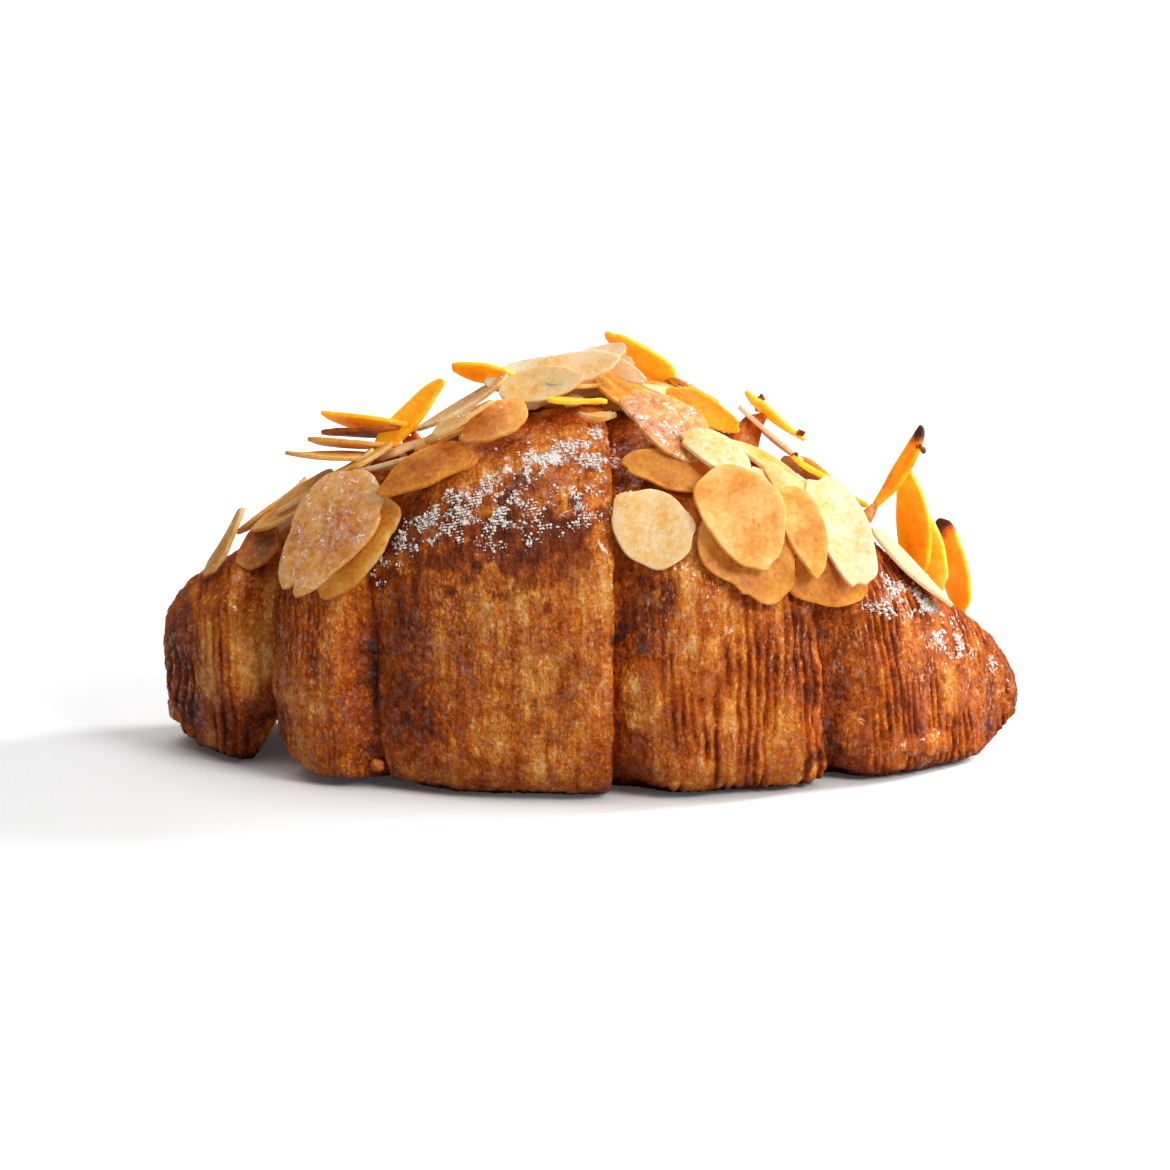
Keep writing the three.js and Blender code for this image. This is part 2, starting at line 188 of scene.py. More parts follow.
def bend_at(x):
    """How far the middle line is bent back at station x, and its slope there."""
    left = x < BEND_FROM
    length = np.where(left, LEFT_TIP["end"], RIGHT_TIP["end"]) - BEND_FROM
    bend = np.where(left, LEFT_TIP["bend"], RIGHT_TIP["bend"])
    share = (x - BEND_FROM) / length
    return bend * share ** 2, 2 * bend * share / length


# %% A point of the crust
def relief_share(angle):
    """Relief fades out under the loaf, which baked on a flat tray."""
    return np.where(np.sin(angle) > 0, 1, smoothstep(np.abs(np.cos(angle)), *RELIEF_BAND))


def crust_point(x, angle, inset, scale=1.0, floor=0.0):
    """Points of the crust in millimetres, one row each."""
    height = from_crown(x, "height")
    waist = WAIST_SHARE * height
    up = np.sin(angle) > 0
    tall = np.where(up, height - waist, waist + FOOT_SINK)
    power = np.where(up, SHOULDER_POWER, FOOT_POWER)
    across = np.abs(np.cos(angle) / from_crown(x, "half_width")) ** power
    upright = np.abs(np.sin(angle) / tall) ** power
    waves = [lump["round"] * angle + lump["along"] * x + lump["start"] for lump in LUMPS]
    lumps = sum(lump["height"] * np.sin(wave) for lump, wave in zip(LUMPS, waves))
    radius = scale * ((across + upright) ** (-1 / power) + relief_share(angle) * (lumps - inset))
    y, slope = bend_at(x)
    out = radius * np.cos(angle) / np.hypot(1, slope)
    z = np.maximum(floor, waist + radius * np.sin(angle))
    lean = LEAN["share"] * smoothstep(np.abs(x - CROWN["at"]), LEAN["start"], LEAN["full"])
    return np.stack([x + slope * out + lean * np.maximum(0, LEAN["below"] - z), y - out, z], -1)


top = crust_point(np.array([CROWN["at"]]), np.array([math.pi / 2]), 0.0)[0]
print("bare crown, in mm:", np.round(top, 1))

# %% [markdown]
# ## Uneven numbers that come out the same each time
# Baked crust is uneven at every scale. A smooth noise, worked out from the place alone, gives the same
# crust on every run: the corners of each cell of a grid get mixed-up numbers, and a point takes a blend
# of the eight round it. Noise that is squeezed along X and stretched round the loaf makes strands, like
# the laminated layers.

# %% Noise
HASH_STEPS = np.array([73856093, 19349663, 83492791])
HASH_MIX = 1274126177
HASH_SHIFTS = (13, 16)
HASH_BITS = 0xFFFFFF
SEED_STEP = 31.7


def smooth_noise(points, pitch, seed):
    """Noise from 0 to 1 at each point, with lumps about a pitch apart."""
    grid = np.asarray(points) / pitch + SEED_STEP * seed
    cell = np.floor(grid).astype(np.int64)
    share = grid - cell
    share = share * share * (3 - 2 * share)
    total = np.zeros(len(grid))
    for corner in np.ndindex(2, 2, 2):
        mixed = (cell + corner) * HASH_STEPS
        mixed = mixed[:, 0] ^ mixed[:, 1] ^ mixed[:, 2]
        mixed = (mixed ^ (mixed >> HASH_SHIFTS[0])) * HASH_MIX
        height = ((mixed ^ (mixed >> HASH_SHIFTS[1])) & HASH_BITS) / HASH_BITS
        total += height * np.where(corner, share, 1 - share).prod(1)
    return total


# %% Strands
BEND_LONG = {"pitch": 8.0, "squeeze": (1, 0.2, 0.2)}
BEND_SHORT = {"pitch": 2.0, "squeeze": (1, 0.5, 0.5), "share": 0.22}
FADE = {"pitch": 2.6, "squeeze": (1, 0.3, 0.3), "low": 0.3, "high": 0.62}


def strands(lines, points, pitch, waver, seed):
    """Laminated layers as wavering strands that run out in places, from 0 in a groove to 1 on a back."""
    long_bend = smooth_noise(points * BEND_LONG["squeeze"], BEND_LONG["pitch"], seed) - 0.5
    short_bend = smooth_noise(points * BEND_SHORT["squeeze"], BEND_SHORT["pitch"], seed + 1) - 0.5
    phase = (lines + waver * (long_bend + BEND_SHORT["share"] * short_bend)) / pitch
    round_back = 1 - (2 * (phase % 1) - 1) ** 2
    fade = smooth_noise(points * FADE["squeeze"], FADE["pitch"], seed + 2)
    return 1 - smoothstep(fade, FADE["low"], FADE["high"]) * (1 - round_back)


sample = smooth_noise(np.random.default_rng(1).random((1000, 3)) * 50, 2.0, 1)
print("noise runs from", round(sample.min(), 2), "to", round(sample.max(), 2))

# %% [markdown]
# ## Rings of a wrap
# Each wrap of dough is a closed shell. Where it is free, its edge rolls over into a lip. Where the next
# wrap covers it, it runs on a little way underneath, so that the lip above it casts a real shadow into a
# real gap. A wrap is a row of rings from its left end to its right end, and each ring has a station, an
# inset and a scale, which falls to nothing at the two poles. An edge faces left (-1) or right (1).

# %% Edges
EDGE_SIZES = ("at", "faces", "shoulder", "droop", "step", "run", "pinch", "torn")
EDGES = [dict(zip(EDGE_SIZES, sizes)) for sizes in (
    (-45.5, -1, 6, 2.2, 6.5, 9, 0.6, 1.0),
    (-29.5, -1, 11, 2.6, 1.2, 7, 0.2, 0.5),
    (1, 1, 3, 0.5, 3.2, 10, 1.4, 0.35),
    (29, 1, 7, 1.6, 2.6, 10, 1.8, 1.0),
)]


def edge_inset(edge, x):
    """How far an edge's own wrap droops to it, and how far the next wrap dips past it."""
    past = (x - edge["at"]) * edge["faces"]
    droop = edge["droop"] * np.maximum(0, 1 + past / edge["shoulder"]) ** 2
    dip = (edge["droop"] + edge["step"]) * (1 - smoothstep(past, 0, edge["run"]))
    return np.where(past > 0, dip, droop)


print(len(EDGES), "free edges at stations", [edge["at"] for edge in EDGES])

# %% Rings
LIP = {"overhang": 0.9, "round": 0.8, "rings": 5, "under": 0.8}
TUCK = {"length": 4, "slope": 0.5, "runs": (1, 2, 4), "under_lip": 3}
TIP = {"out": 4.6, "rings": 26, "out_power": 0.9, "scale_power": 0.75}
POLE_SCALES = (0.5, 0.0)
RING_PITCH = 0.22
NUDGE = 1e-6


def quarter_turn(count):
    return np.linspace(0, math.pi / 2, count)[1:]


def tip_rings(end, side):
    """A blunt rounded end."""
    rings = []
    for turn in quarter_turn(TIP["rings"]):
        reach = TIP["out"] * math.sin(turn) ** TIP["out_power"]
        rings.append((end + side * reach, 0.0, math.cos(turn) ** TIP["scale_power"]))
    return rings


def lip_rings(edge):
    """A rounded lip, then the underside that goes back in below it, and the pole."""
    at, faces, droop, step = edge["at"], edge["faces"], edge["droop"], edge["step"]
    nose = [
        (at + faces * LIP["overhang"] * math.sin(turn), droop + LIP["round"] * (1 - math.cos(turn)), 1.0)
        for turn in quarter_turn(LIP["rings"])]
    back = at - faces * TUCK["length"]
    deep = droop + step + TUCK["under_lip"]
    underside = [(at, droop + LIP["under"] * step, 1.0), (back, deep, 1.0)]
    return nose + underside + [(back, deep, POLE_SCALES[0]), (back, 0.0, POLE_SCALES[1])]


def tuck_rings(edge):
    """The part of a wrap that runs on under the lip that covers it, and the pole."""
    deep = edge["droop"] + edge["step"]
    back = edge["at"] - edge["faces"] * TUCK["length"]
    under = [(edge["at"] - edge["faces"] * run, deep + TUCK["slope"] * run, 1.0) for run in TUCK["runs"]]
    deepest = deep + TUCK["slope"] * TUCK["length"]
    return under + [(back, deepest, POLE_SCALES[0]), (back, 0.0, POLE_SCALES[1])]


def end_rings(edge, side):
    """Rings past one end of a wrap, from its surface outwards. Side is -1 at the left and 1 at the right."""
    if edge is None:
        return tip_rings(LEFT_TIP["end"] if side < 0 else RIGHT_TIP["end"], side)
    return lip_rings(edge) if edge["faces"] == side else tuck_rings(edge)


def wrap_rings(left, right):
    """All rings of a wrap. Its end stations are nudged inwards, to measure each edge on this side of it."""
    start = left["at"] if left else LEFT_TIP["end"]
    stop = right["at"] if right else RIGHT_TIP["end"]
    x = np.linspace(start, stop, round((stop - start) / RING_PITCH) + 1)
    inward = x + NUDGE * (stop - start - 2 * (x - start))
    inset = sum(edge_inset(edge, inward) for edge in (left, right) if edge)
    surface = list(zip(x, np.broadcast_to(inset, x.shape), np.ones(len(x))))
    return np.array(end_rings(left, -1)[::-1] + surface + end_rings(right, 1))


print("the middle wrap has", len(wrap_rings(EDGES[1], EDGES[2])), "rings")

# %% [markdown]
# ## Marks on the crust
# Some places baked darker, some stayed pale and smooth, and sugar lies where it fell. Other spots are
# painted light and shade: painted shade on the shaded left side of the middle wrap, in valleys and under
# the left tip, painted light on the lit right side of the middle wrap and along its lip, and painted
# glints along the strands. In a few places a leaf of dough has lifted. Each such place is a soft round
# spot, given as its station, angle, half length, half turn and strength, and the spots of a kind
# together make a mask that the materials read. Leaves and scorched places get ragged outlines, because
# their stations and angles are first shifted by a noise.

# %% Spots
# Mostly real scorch. The spot at -49, low in the left tip's valley, is painted shade where it turns under.
SCORCHED_AND_SHADED = [
    (-12, 34, 9, 10, 1.0), (-5, 32, 6, 11, 1.0), (-19, 37, 9, 11, 0.9), (-26, 42, 7, 11, 0.8),
    (-9, 24, 4, 7, 0.6), (-14, 47, 12, 9, 0.5), (-24, 50, 8, 10, 0.5), (-6, 37, 6, 7, 1.3),
    (-12, 41, 5, 6, 1.1), (5.5, 12, 4, 9, 1.0), (6.5, 20, 5, 8, 0.8), (-64, 24, 7, 40, 0.6),
    (-63, -14, 7, 22, 0.5), (69, 24, 3, 44, 0.7), (66, -20, 6, 10, 0.5), (30, -24, 3, 9, 0.6),
    (-49, -18, 6, 12, 0.8), (28, 10, 3, 26, 0.5), (-25, 6, 4.5, 34, 0.35), (-4.5, -10, 2.2, 16, 0.4),
    (-17, 4, 2.5, 24, 0.2), (-10, -22, 4, 8, 0.25), (-20, 132, 12, 16, 0.8), (10, 140, 10, 12, 0.8),
    (36, 130, 10, 18, 0.7), (-48, 140, 10, 20, 0.7),
]
# Pale dough, and painted light: the spots at 0, -1 and -4 light the right side and lip of the middle wrap.
PALE_AND_LIT = [
    (5, -13, 4.5, 13, 1.0), (34, -22, 3, 8, 0.8), (-50, 14, 4, 26, 0.6), (0, 6, 2.2, 34, 0.5),
    (-1, 16, 3, 12, 0.6), (-4, 2, 5, 34, 0.5), (-13, -14, 8, 14, 0.35), (45, -22, 6, 6, 0.8),
    (58, 2, 5, 12, 0.6), (64, 2, 3.5, 16, 0.6), (-12, -4, 9, 16, 0.3), (5, 170, 6, 30, 0.7),
    (-38, 165, 6, 30, 0.5),
]
# Painted shade: darker colour on the left of the middle wrap, in valleys by the edges and under the left tip.
PAINTED_SHADE_SPOTS = [
    (-27, 0, 9, 60, 0.26), (-20, 8, 5, 40, 0.08), (-40, -4, 4, 50, 0.1), (-31, 0, 3.5, 60, 0.12),
    (-60, -16, 9, 14, 0.2), (-54, -26, 7, 14, 0.25), (12, -22, 8, 8, 0.1), (27, 0, 3, 40, 0.14),
    (60, -10, 9, 30, 0.1), (-6, -14, 4, 26, 0.08),
]
SUGARED = [
    (-16, 46, 10, 9, 0.9), (-9, 55, 10, 9, 1.0), (-3, 56, 8, 10, 0.9), (1, 60, 6, 8, 0.8),
    (-23, 42, 8, 9, 0.8), (-4, 42, 8, 9, 0.7), (-12, 38, 10, 9, 0.6), (40, 34, 6, 10, 0.7),
    (48, 40, 9, 13, 1.0), (53, 28, 9, 10, 0.8), (60, 26, 5, 10, 0.6), (-28, 37, 6, 9, 0.6),
    (4, 19, 5, 8, 0.3), (-30, 110, 25, 18, 0.6), (25, 112, 25, 20, 0.7),
]
# Painted highlights: spots where pale glints are mixed into the crust's colour.
PAINTED_GLINT_SPOTS = [
    (12, 14, 9, 24, 1.0), (24, 8, 5, 22, 0.9), (34, 12, 6, 22, 0.6), (48, 14, 10, 22, 1.0),
    (58, 10, 8, 24, 0.9), (-40, 14, 8, 30, 0.8), (-62, 14, 8, 34, 0.8), (-16, 12, 14, 26, 0.6),
    (0, 10, 2.6, 32, 1.0), (16, -21, 12, 8, 0.7), (42, -24, 14, 6, 0.7), (-5, 70, 20, 14, 0.5),
    (-40, 150, 20, 40, 0.6), (20, 150, 40, 40, 0.7),
]
LEAVES = [
    (5.2, -13, 3.4, 12, 1.3), (34, -22, 2.4, 7, 1.2), (45.5, -23, 6, 6, 1.2), (52, 4, 3, 14, 0.8),
    (14, 6, 2.6, 14, 0.6),
]
LEAF_WAVER = {"pitch": 3.0, "station": 2.4, "degrees": 12}
SCORCH_WAVER = {"pitch": 2.2, "station": 7.0, "degrees": 27}


def spot_mask(station, degrees, spots, edge=(0.35, 1.0)):
    """The strongest of some soft spots at each point."""
    mask = np.zeros(len(station))
    for at, turn, half_length, half_turn, strength in spots:
        away = np.hypot((station - at) / half_length, (degrees - turn) / half_turn)
        mask = np.maximum(mask, strength * (1 - smoothstep(away, *edge)))
    return mask


def wavered(station, degrees, points, waver, seed):
    """Stations and angles shifted by a noise."""
    shift = smooth_noise(points, waver["pitch"], seed) - 0.5
    return station + waver["station"] * shift, degrees + waver["degrees"] * shift


print(len(SCORCHED_AND_SHADED), "scorched,", len(PALE_AND_LIT), "pale and", len(SUGARED), "sugared spots")

# %% [markdown]
# ## A grid for each wrap
# A flat grid has rows and columns, which is just what a wrap needs: each vertex is read as a ring and a
# segment and set down on the crust, and then the two long sides are welded into a tube and its ends into
# poles. The grid brings a tidy UV map with it. More segments go to the faces that show than to the base.

# %% A grid and its vertices
SEGMENTS = 400
SHOWN_ARC = (-40, 220)
SHOWN_SHARE = 0.84
FULL_TURN = 360
segment_angles = np.radians(np.interp(
    np.arange(SEGMENTS) / SEGMENTS, [0, SHOWN_SHARE, 1], [*SHOWN_ARC, SHOWN_ARC[0] + FULL_TURN]))


def points_of(piece):
    points = np.empty(3 * len(piece.data.vertices), np.float32)
    piece.data.vertices.foreach_get("co", points)
    return points.reshape(-1, 3).astype(float)


def set_points(piece, points):
    piece.data.vertices.foreach_set("co", np.asarray(points, np.float32).ravel() * MM)
    piece.data.update()


def set_mask(piece, name, values):
    """Gives each vertex a number that the materials read. One number serves for all."""
    mask = piece.data.attributes.new(name, "FLOAT", "POINT")
    every = np.broadcast_to(values, len(piece.data.vertices))
    mask.data.foreach_set("value", every.astype(np.float32))


def add_sheet(wrap):
    """A grid for a wrap, and the station, inset, scale and angle of each vertex."""
    rings = wrap_rings(wrap["left"], wrap["right"])
    bpy.ops.object.select_all(action="DESELECT")
    bpy.ops.mesh.primitive_grid_add(x_subdivisions=len(rings) - 1, y_subdivisions=SEGMENTS, size=2)
    piece = bpy.context.object
    piece.name = piece.data.name = wrap["name"]
    share = (points_of(piece) + 1) / 2
    ring = np.rint(share[:, 0] * (len(rings) - 1)).astype(int)
    segment = np.rint(share[:, 1] * SEGMENTS).astype(int) % SEGMENTS
    station, inset, scale = rings[ring].T
    return piece, station, inset, scale, segment_angles[segment]


print(SEGMENTS, "segments,", round(SEGMENTS * SHOWN_SHARE), "of them where they show")

# %% [markdown]
# ## Foot, torn rims and valleys
# The foot of the loaf stands off the tray in an arch at the left and at both tips, and its rim is uneven.
# Free edges are torn, so they reach out unevenly along X. In the valley past an edge the dough was
# covered until it rose, so its skin is smooth there, and it is pinched in at the sides.

# %% Foot
FOOT_LIFT = [
    (-76, 12), (-71, 6), (-69, 3.2), (-67, 1.2), (-64.5, 0.4), (-62, 0), (-58.3, 0), (-57.3, 2),
    (-55.5, 6.5), (-53.4, 9), (-51.5, 6.5), (-50, 3.6), (-47, 2), (-44, 1.5), (-37, 1.4), (-31, 0.7),
    (-27, 0), (58, 0), (62.7, 0.4), (66, 0.9), (69.5, 2.5), (72, 4.5), (76, 8),
]
FOOT_STEP = {"pitch": 1.9, "share": 0.8, "until": -61}
FOOT_RIM = {"ragged": 0.6, "pitch": 1.5, "band": (0.5, 0.85)}
FOOT_ROUND = {"deep": 0.8, "high": 2.2}
TOE = {"out": 2.4, "from": (60, 68), "high": 20}
UNDERCUT = {"at": -49.5, "half": 6.5, "low": 2, "high": 15}


def foot_lift(x, angle, seed):
    """How far the foot stands off the tray: by station, in steps at the left tip, and in a ragged rim."""
    pitch = FOOT_STEP["pitch"]
    stepped = pitch * np.rint(x / pitch)
    stepped = np.where(x < FOOT_STEP["until"], x + FOOT_STEP["share"] * (stepped - x), x)
    lift = np.interp(stepped, *zip(*FOOT_LIFT))
    rim = smoothstep(np.abs(np.cos(angle)), *FOOT_RIM["band"])
    along = np.column_stack([x, np.zeros(len(x)), np.zeros(len(x))])
    return lift + FOOT_RIM["ragged"] * rim * smooth_noise(along, FOOT_RIM["pitch"], seed)


def foot_inset(station, height, undercut):
    """The foot's rounding, and the left valley that runs in under the loaf by an undercut."""
    near = np.maximum(0, 1 - ((station - UNDERCUT["at"]) / UNDERCUT["half"]) ** 2)
    hollow = undercut * near * (1 - smoothstep(height, UNDERCUT["low"], UNDERCUT["high"]))
    return hollow + FOOT_ROUND["deep"] * (1 - smoothstep(height, 0, FOOT_ROUND["high"])) ** 2


def toe_shift(station, height):
    """How far the left tip's toe reaches out along X."""
    return -TOE["out"] * smoothstep(-station, *TOE["from"]) * (1 - smoothstep(height, 0, TOE["high"]))


print("the foot stands off by up to", max(lift for at, lift in FOOT_LIFT), "mm")

# %% Torn rims and valleys
RAGGED = {"tip": 1.7, "coarse": 0.8, "coarse_pitch": 4.0, "fine": 0.5, "fine_pitch": 1.1, "fade": 2.0}
VALLEY = {"smooth": (0.45, 1.05), "pinched": (0, 1.2)}


def ends_of(wrap):
    return (wrap["left"], -1), (wrap["right"], 1)


def torn_shift(wrap, station, points, seed):
    """How far a free end's torn rim reaches out past its even line, in millimetres along X."""
    rim = np.column_stack([np.zeros(len(points)), points[:, 1:]])
    torn = RAGGED["coarse"] * (2 * smooth_noise(rim, RAGGED["coarse_pitch"], seed) - 1)
    torn += RAGGED["fine"] * (2 * smooth_noise(rim, RAGGED["fine_pitch"], seed + 1) - 1)
    shift = np.zeros(len(station))
    for edge, side in ends_of(wrap):
        end = (LEFT_TIP["end"] if side < 0 else RIGHT_TIP["end"]) if edge is None else edge["at"]
        if edge is None or edge["faces"] == side:
            share = edge["torn"] if edge else RAGGED["tip"]
            shift += side * share * torn * np.exp(-np.abs(station - end) / RAGGED["fade"])
    return shift


def valleys(wrap, station):
    """How smooth the skin is in the valleys of a wrap, from 0 to 1, and how far they are pinched in."""
    smooth = np.zeros(len(station))
    pinch = np.zeros(len(station))
    for edge, side in ends_of(wrap):
        if edge and edge["faces"] != side:
            past = (station - edge["at"]) * edge["faces"] / edge["run"]
            smooth = np.maximum(smooth, 1 - smoothstep(past, *VALLEY["smooth"]))
            pinch = np.maximum(pinch, edge["pinch"] * (1 - smoothstep(past, *VALLEY["pinched"])))
    return smooth, pinch


# %% [markdown]
# ## Relief and building
# The strands are cut into the surface as real grooves, because a bump map alone would leave the edges of
# the wraps smooth against the light. Swells, a fine skin and crags add to them. Grooves are shallow in
# valleys, on pale spots and lifted leaves, and on the sugared top. Every noise has a seed of its own,
# counted on from the wrap's.

# %% Relief
GROOVE = {"middle": 0.85, "valley": 0.85, "pale": 0.6, "leaf": 0.7, "top": 0.6, "top_band": (0.6, 0.95)}
GROOVE_PATCH = {"pitch": 5.0, "least": 0.5}
SWELL = {"pitch": 7.0, "height": 1.1, "middle": 0.35}
SKIN_PITCH = 1.5
CRAG = {"pitch": 1.0, "squeeze": (1, 0.6, 0.6), "height": 0.7, "calm": 0.8}
PINCH_BAND = (0.25, 0.7)
WELD = 1e-7


def groove_depth(wrap, points, angle, smooth, pale, leaf, seed):
    depth = wrap["depth"] * (1 - GROOVE["valley"] * smooth)
    depth = depth * (1 - GROOVE["pale"] * pale) * (1 - GROOVE["leaf"] * (leaf > 0))
    depth = depth * (GROOVE_PATCH["least"] + smooth_noise(points, GROOVE_PATCH["pitch"], seed))
    return depth * (1 - GROOVE["top"] * smoothstep(np.sin(angle), *GROOVE["top_band"]))


def rough_skin(wrap, points, smooth, leaf, seed):
    """How far swells, skin and crags lie below the plump form."""
    swell = smooth_noise(points, SWELL["pitch"], seed) - 0.5
    skin = smooth_noise(points, SKIN_PITCH, seed + 1) - 0.5
    crag = smooth_noise(points * CRAG["squeeze"], CRAG["pitch"], seed + 8) - 0.5
    crag = crag * CRAG["height"] * wrap["crag"] * (1 - CRAG["calm"] * smooth)
    crag = crag * (1 - CRAG["calm"] * (leaf > 0))
    return SWELL["height"] * (SWELL["middle"] - swell) - wrap["skin"] * skin - crag


def weld(piece):
    bpy.ops.object.mode_set(mode="EDIT")
    bpy.ops.mesh.select_all(action="SELECT")
    bpy.ops.mesh.remove_doubles(threshold=WELD)
    bpy.ops.object.mode_set(mode="OBJECT")
    bpy.ops.object.shade_smooth()
    piece.data.uv_layers[0].name = "OFBake"


# %% Build a wrap
LEAF = {"height": 0.7, "edge": (0.55, 1.0), "most_pale": 0.8}
# A darker band at the foot: burnt base and painted contact shade.
BURNT_AND_SHADED_FOOT = {"band": (0.4, 3.2), "pitch": 3.0, "least": 0.4}
PAINTED_SHADE_EDGE = (0.2, 1.0)


def build_wrap(wrap, seed):
    piece, station, inset, scale, angle = add_sheet(wrap)
    degrees = np.degrees(angle)
    plain = crust_point(station, angle, inset, scale)
    smooth, pinch = valleys(wrap, station)
    pale = spot_mask(station, degrees, PALE_AND_LIT)
    leaf = spot_mask(*wavered(station, degrees, plain, LEAF_WAVER, seed + 11), LEAVES, LEAF["edge"])
    leaf = LEAF["height"] * leaf
    crest = strands(plain[:, 0] if wrap["upright"] else station, plain, wrap["pitch"], wrap["waver"], seed)
    depth = groove_depth(wrap, plain, angle, smooth, pale, leaf, seed + 6)
    inset = inset + depth * (GROOVE["middle"] - crest)
    inset = inset + rough_skin(wrap, plain, smooth, leaf, seed + 4) - leaf
    inset = inset + pinch * smoothstep(np.abs(np.cos(angle)), *PINCH_BAND)
    inset = inset + foot_inset(station, plain[:, 2], wrap.get("undercut", 0))
    station = station + torn_shift(wrap, station, plain, seed + 7)
    station = station + toe_shift(station, plain[:, 2])
    points = crust_point(station, angle, inset, scale, foot_lift(plain[:, 0], angle, seed + 9))
    set_points(piece, points)
    # Foot band: burnt base and painted contact shade, mixed into the scorch mask.
    foot = 1 - smoothstep(points[:, 2], *BURNT_AND_SHADED_FOOT["band"])
    foot = foot * (BURNT_AND_SHADED_FOOT["least"] + smooth_noise(plain, BURNT_AND_SHADED_FOOT["pitch"], seed + 10))
    scorch_and_shade = spot_mask(*wavered(station, degrees, plain, SCORCH_WAVER, seed + 13), SCORCHED_AND_SHADED)
    # Painted shade spots, added to the bake mask.
    painted_shade = spot_mask(station, degrees, PAINTED_SHADE_SPOTS, PAINTED_SHADE_EDGE)
    set_mask(piece, "crest", 1 - np.minimum(depth, 1) * (1 - crest))
    set_mask(piece, "scorch_and_shade", np.maximum(scorch_and_shade, foot))
    set_mask(piece, "painted_glints", spot_mask(station, degrees, PAINTED_GLINT_SPOTS) * np.clip(crest, 0, 1))
    set_mask(piece, "pale", np.maximum(pale, np.minimum(leaf, LEAF["most_pale"])))
    set_mask(piece, "bake_and_shade", wrap["bake_and_shade"] + wrap["valley"] * smooth + painted_shade)
    set_mask(piece, "strand", wrap["strand"] * (1 - smooth))
    set_mask(piece, "sugar", spot_mask(station, degrees, SUGARED))
    weld(piece)
    return piece


# %% Build all five
WRAP_SEED = 20
# Valley darkens the smooth valleys as painted shade, and lightens them where it is below nothing.
WRAPS = [
    {"name": "left_tip_wrap", "left": None, "right": EDGES[0], "upright": True, "pitch": 1.3, "waver": 1.4,
     "depth": 0.5, "skin": 0.15, "crag": 0.6, "bake_and_shade": 0.04, "valley": -0.06, "strand": 1.0, "undercut": 5},
    {"name": "left_wrap", "left": EDGES[0], "right": EDGES[1], "upright": True, "pitch": 1.0, "waver": 2.0,
     "depth": 0.28, "skin": 0.3, "crag": 0.7, "bake_and_shade": 0.14, "valley": 0.0, "strand": 0.6},
    {"name": "middle_wrap", "left": EDGES[1], "right": EDGES[2], "upright": True, "pitch": 1.6, "waver": 3.0,
     "depth": 0.12, "skin": 0.4, "crag": 0.5, "bake_and_shade": 0.02, "valley": 0.05, "strand": 0.1},
    {"name": "right_wrap", "left": EDGES[2], "right": EDGES[3], "upright": False, "pitch": 1.35, "waver": 3.0,
     "depth": 0.7, "skin": 0.25, "crag": 1.0, "bake_and_shade": 0.03, "valley": 0.12, "strand": 1.0},
    {"name": "right_tip_wrap", "left": EDGES[3], "right": None, "upright": False, "pitch": 1.2, "waver": 3.0,
     "depth": 0.65, "skin": 0.25, "crag": 1.0, "bake_and_shade": 0.17, "valley": 0.16, "strand": 1.0},
]
wraps = [build_wrap(wrap, WRAP_SEED * (i + 1)) for i, wrap in enumerate(WRAPS)]


def triangles_of(piece):
    piece.data.calc_loop_triangles()
    return len(piece.data.loop_triangles)


for piece in wraps:
    print(piece.name, triangles_of(piece), "triangles")

# %% [markdown]
# ## Blisters
# The skin of a baked crust blisters. A Displace modifier that reads a procedural cloud texture raises
# small lumps along the normals, and is applied at once, so that they stay in the mesh.

# %% Blisters
BLISTER = {"pitch": 0.55 * MM, "height": 0.34 * MM, "depth": 2}
blister_clouds = bpy.data.textures.new("blister_clouds", "CLOUDS")
blister_clouds.noise_scale = BLISTER["pitch"]
blister_clouds.noise_depth = BLISTER["depth"]
for piece in wraps:
    bpy.ops.object.select_all(action="DESELECT")
    piece.select_set(True)
    bpy.context.view_layer.objects.active = piece
    blisters = piece.modifiers.new("blisters", "DISPLACE")
    blisters.texture = blister_clouds
    blisters.texture_coords = "LOCAL"
    blisters.strength = BLISTER["height"]
    blisters.mid_level = 0.5
    bpy.ops.object.modifier_apply(modifier=blisters.name)
print("blisters about", BLISTER["height"] / MM, "mm high")

# %% [markdown]
# ## An almond slice
# A sliced almond is a thin plate, egg-shaped in outline, about a millimetre thick with soft rims. One
# plate is modelled from a cylinder: the rims are bevelled, the two faces are inset a few times, so that
# they can bend, and the last face of each is poked to close it with triangles.

# %% Model one slice
SLICE = {"length": 22, "width": 12.5, "thickness": 1.1, "narrowing": 0.22, "curl": 0.4, "curl_rest": 0.4}
SLICE_CORNERS = 44
SLICE_INSETS = [0.10, 0.16, 0.20, 0.22, 0.18]
RIM = {"bevel": 0.27, "segments": 3}
FLAT = 0.99
QUAD = 4


def select_faces(piece, wanted):
    """Leaves edit mode with just the faces selected that the test accepts."""
    bpy.ops.mesh.select_all(action="DESELECT")
    bpy.ops.object.mode_set(mode="OBJECT")
    for face in piece.data.polygons:
        face.select = wanted(face)
    bpy.ops.object.mode_set(mode="EDIT")


def model_slice():
    half = SLICE["length"] / 2 * MM
    bpy.ops.object.select_all(action="DESELECT")
    bpy.ops.mesh.primitive_cylinder_add(vertices=SLICE_CORNERS, radius=half, depth=SLICE["thickness"] * MM)
    plate = bpy.context.object
    plate.name = "almond_slice"
    bpy.ops.object.mode_set(mode="EDIT")
    bpy.ops.mesh.select_mode(type="FACE")
    select_faces(plate, lambda face: abs(face.normal.z) > FLAT)
    bpy.ops.mesh.bevel(offset=RIM["bevel"] * MM, segments=RIM["segments"], profile=0.5)
    select_faces(plate, lambda face: abs(face.normal.z) > FLAT and len(face.vertices) > QUAD)
    for share in SLICE_INSETS:
        bpy.ops.mesh.inset(thickness=share * half, use_individual=True)
    bpy.ops.mesh.poke()
    bpy.ops.object.mode_set(mode="OBJECT")
    bpy.ops.object.shade_smooth()
    return plate


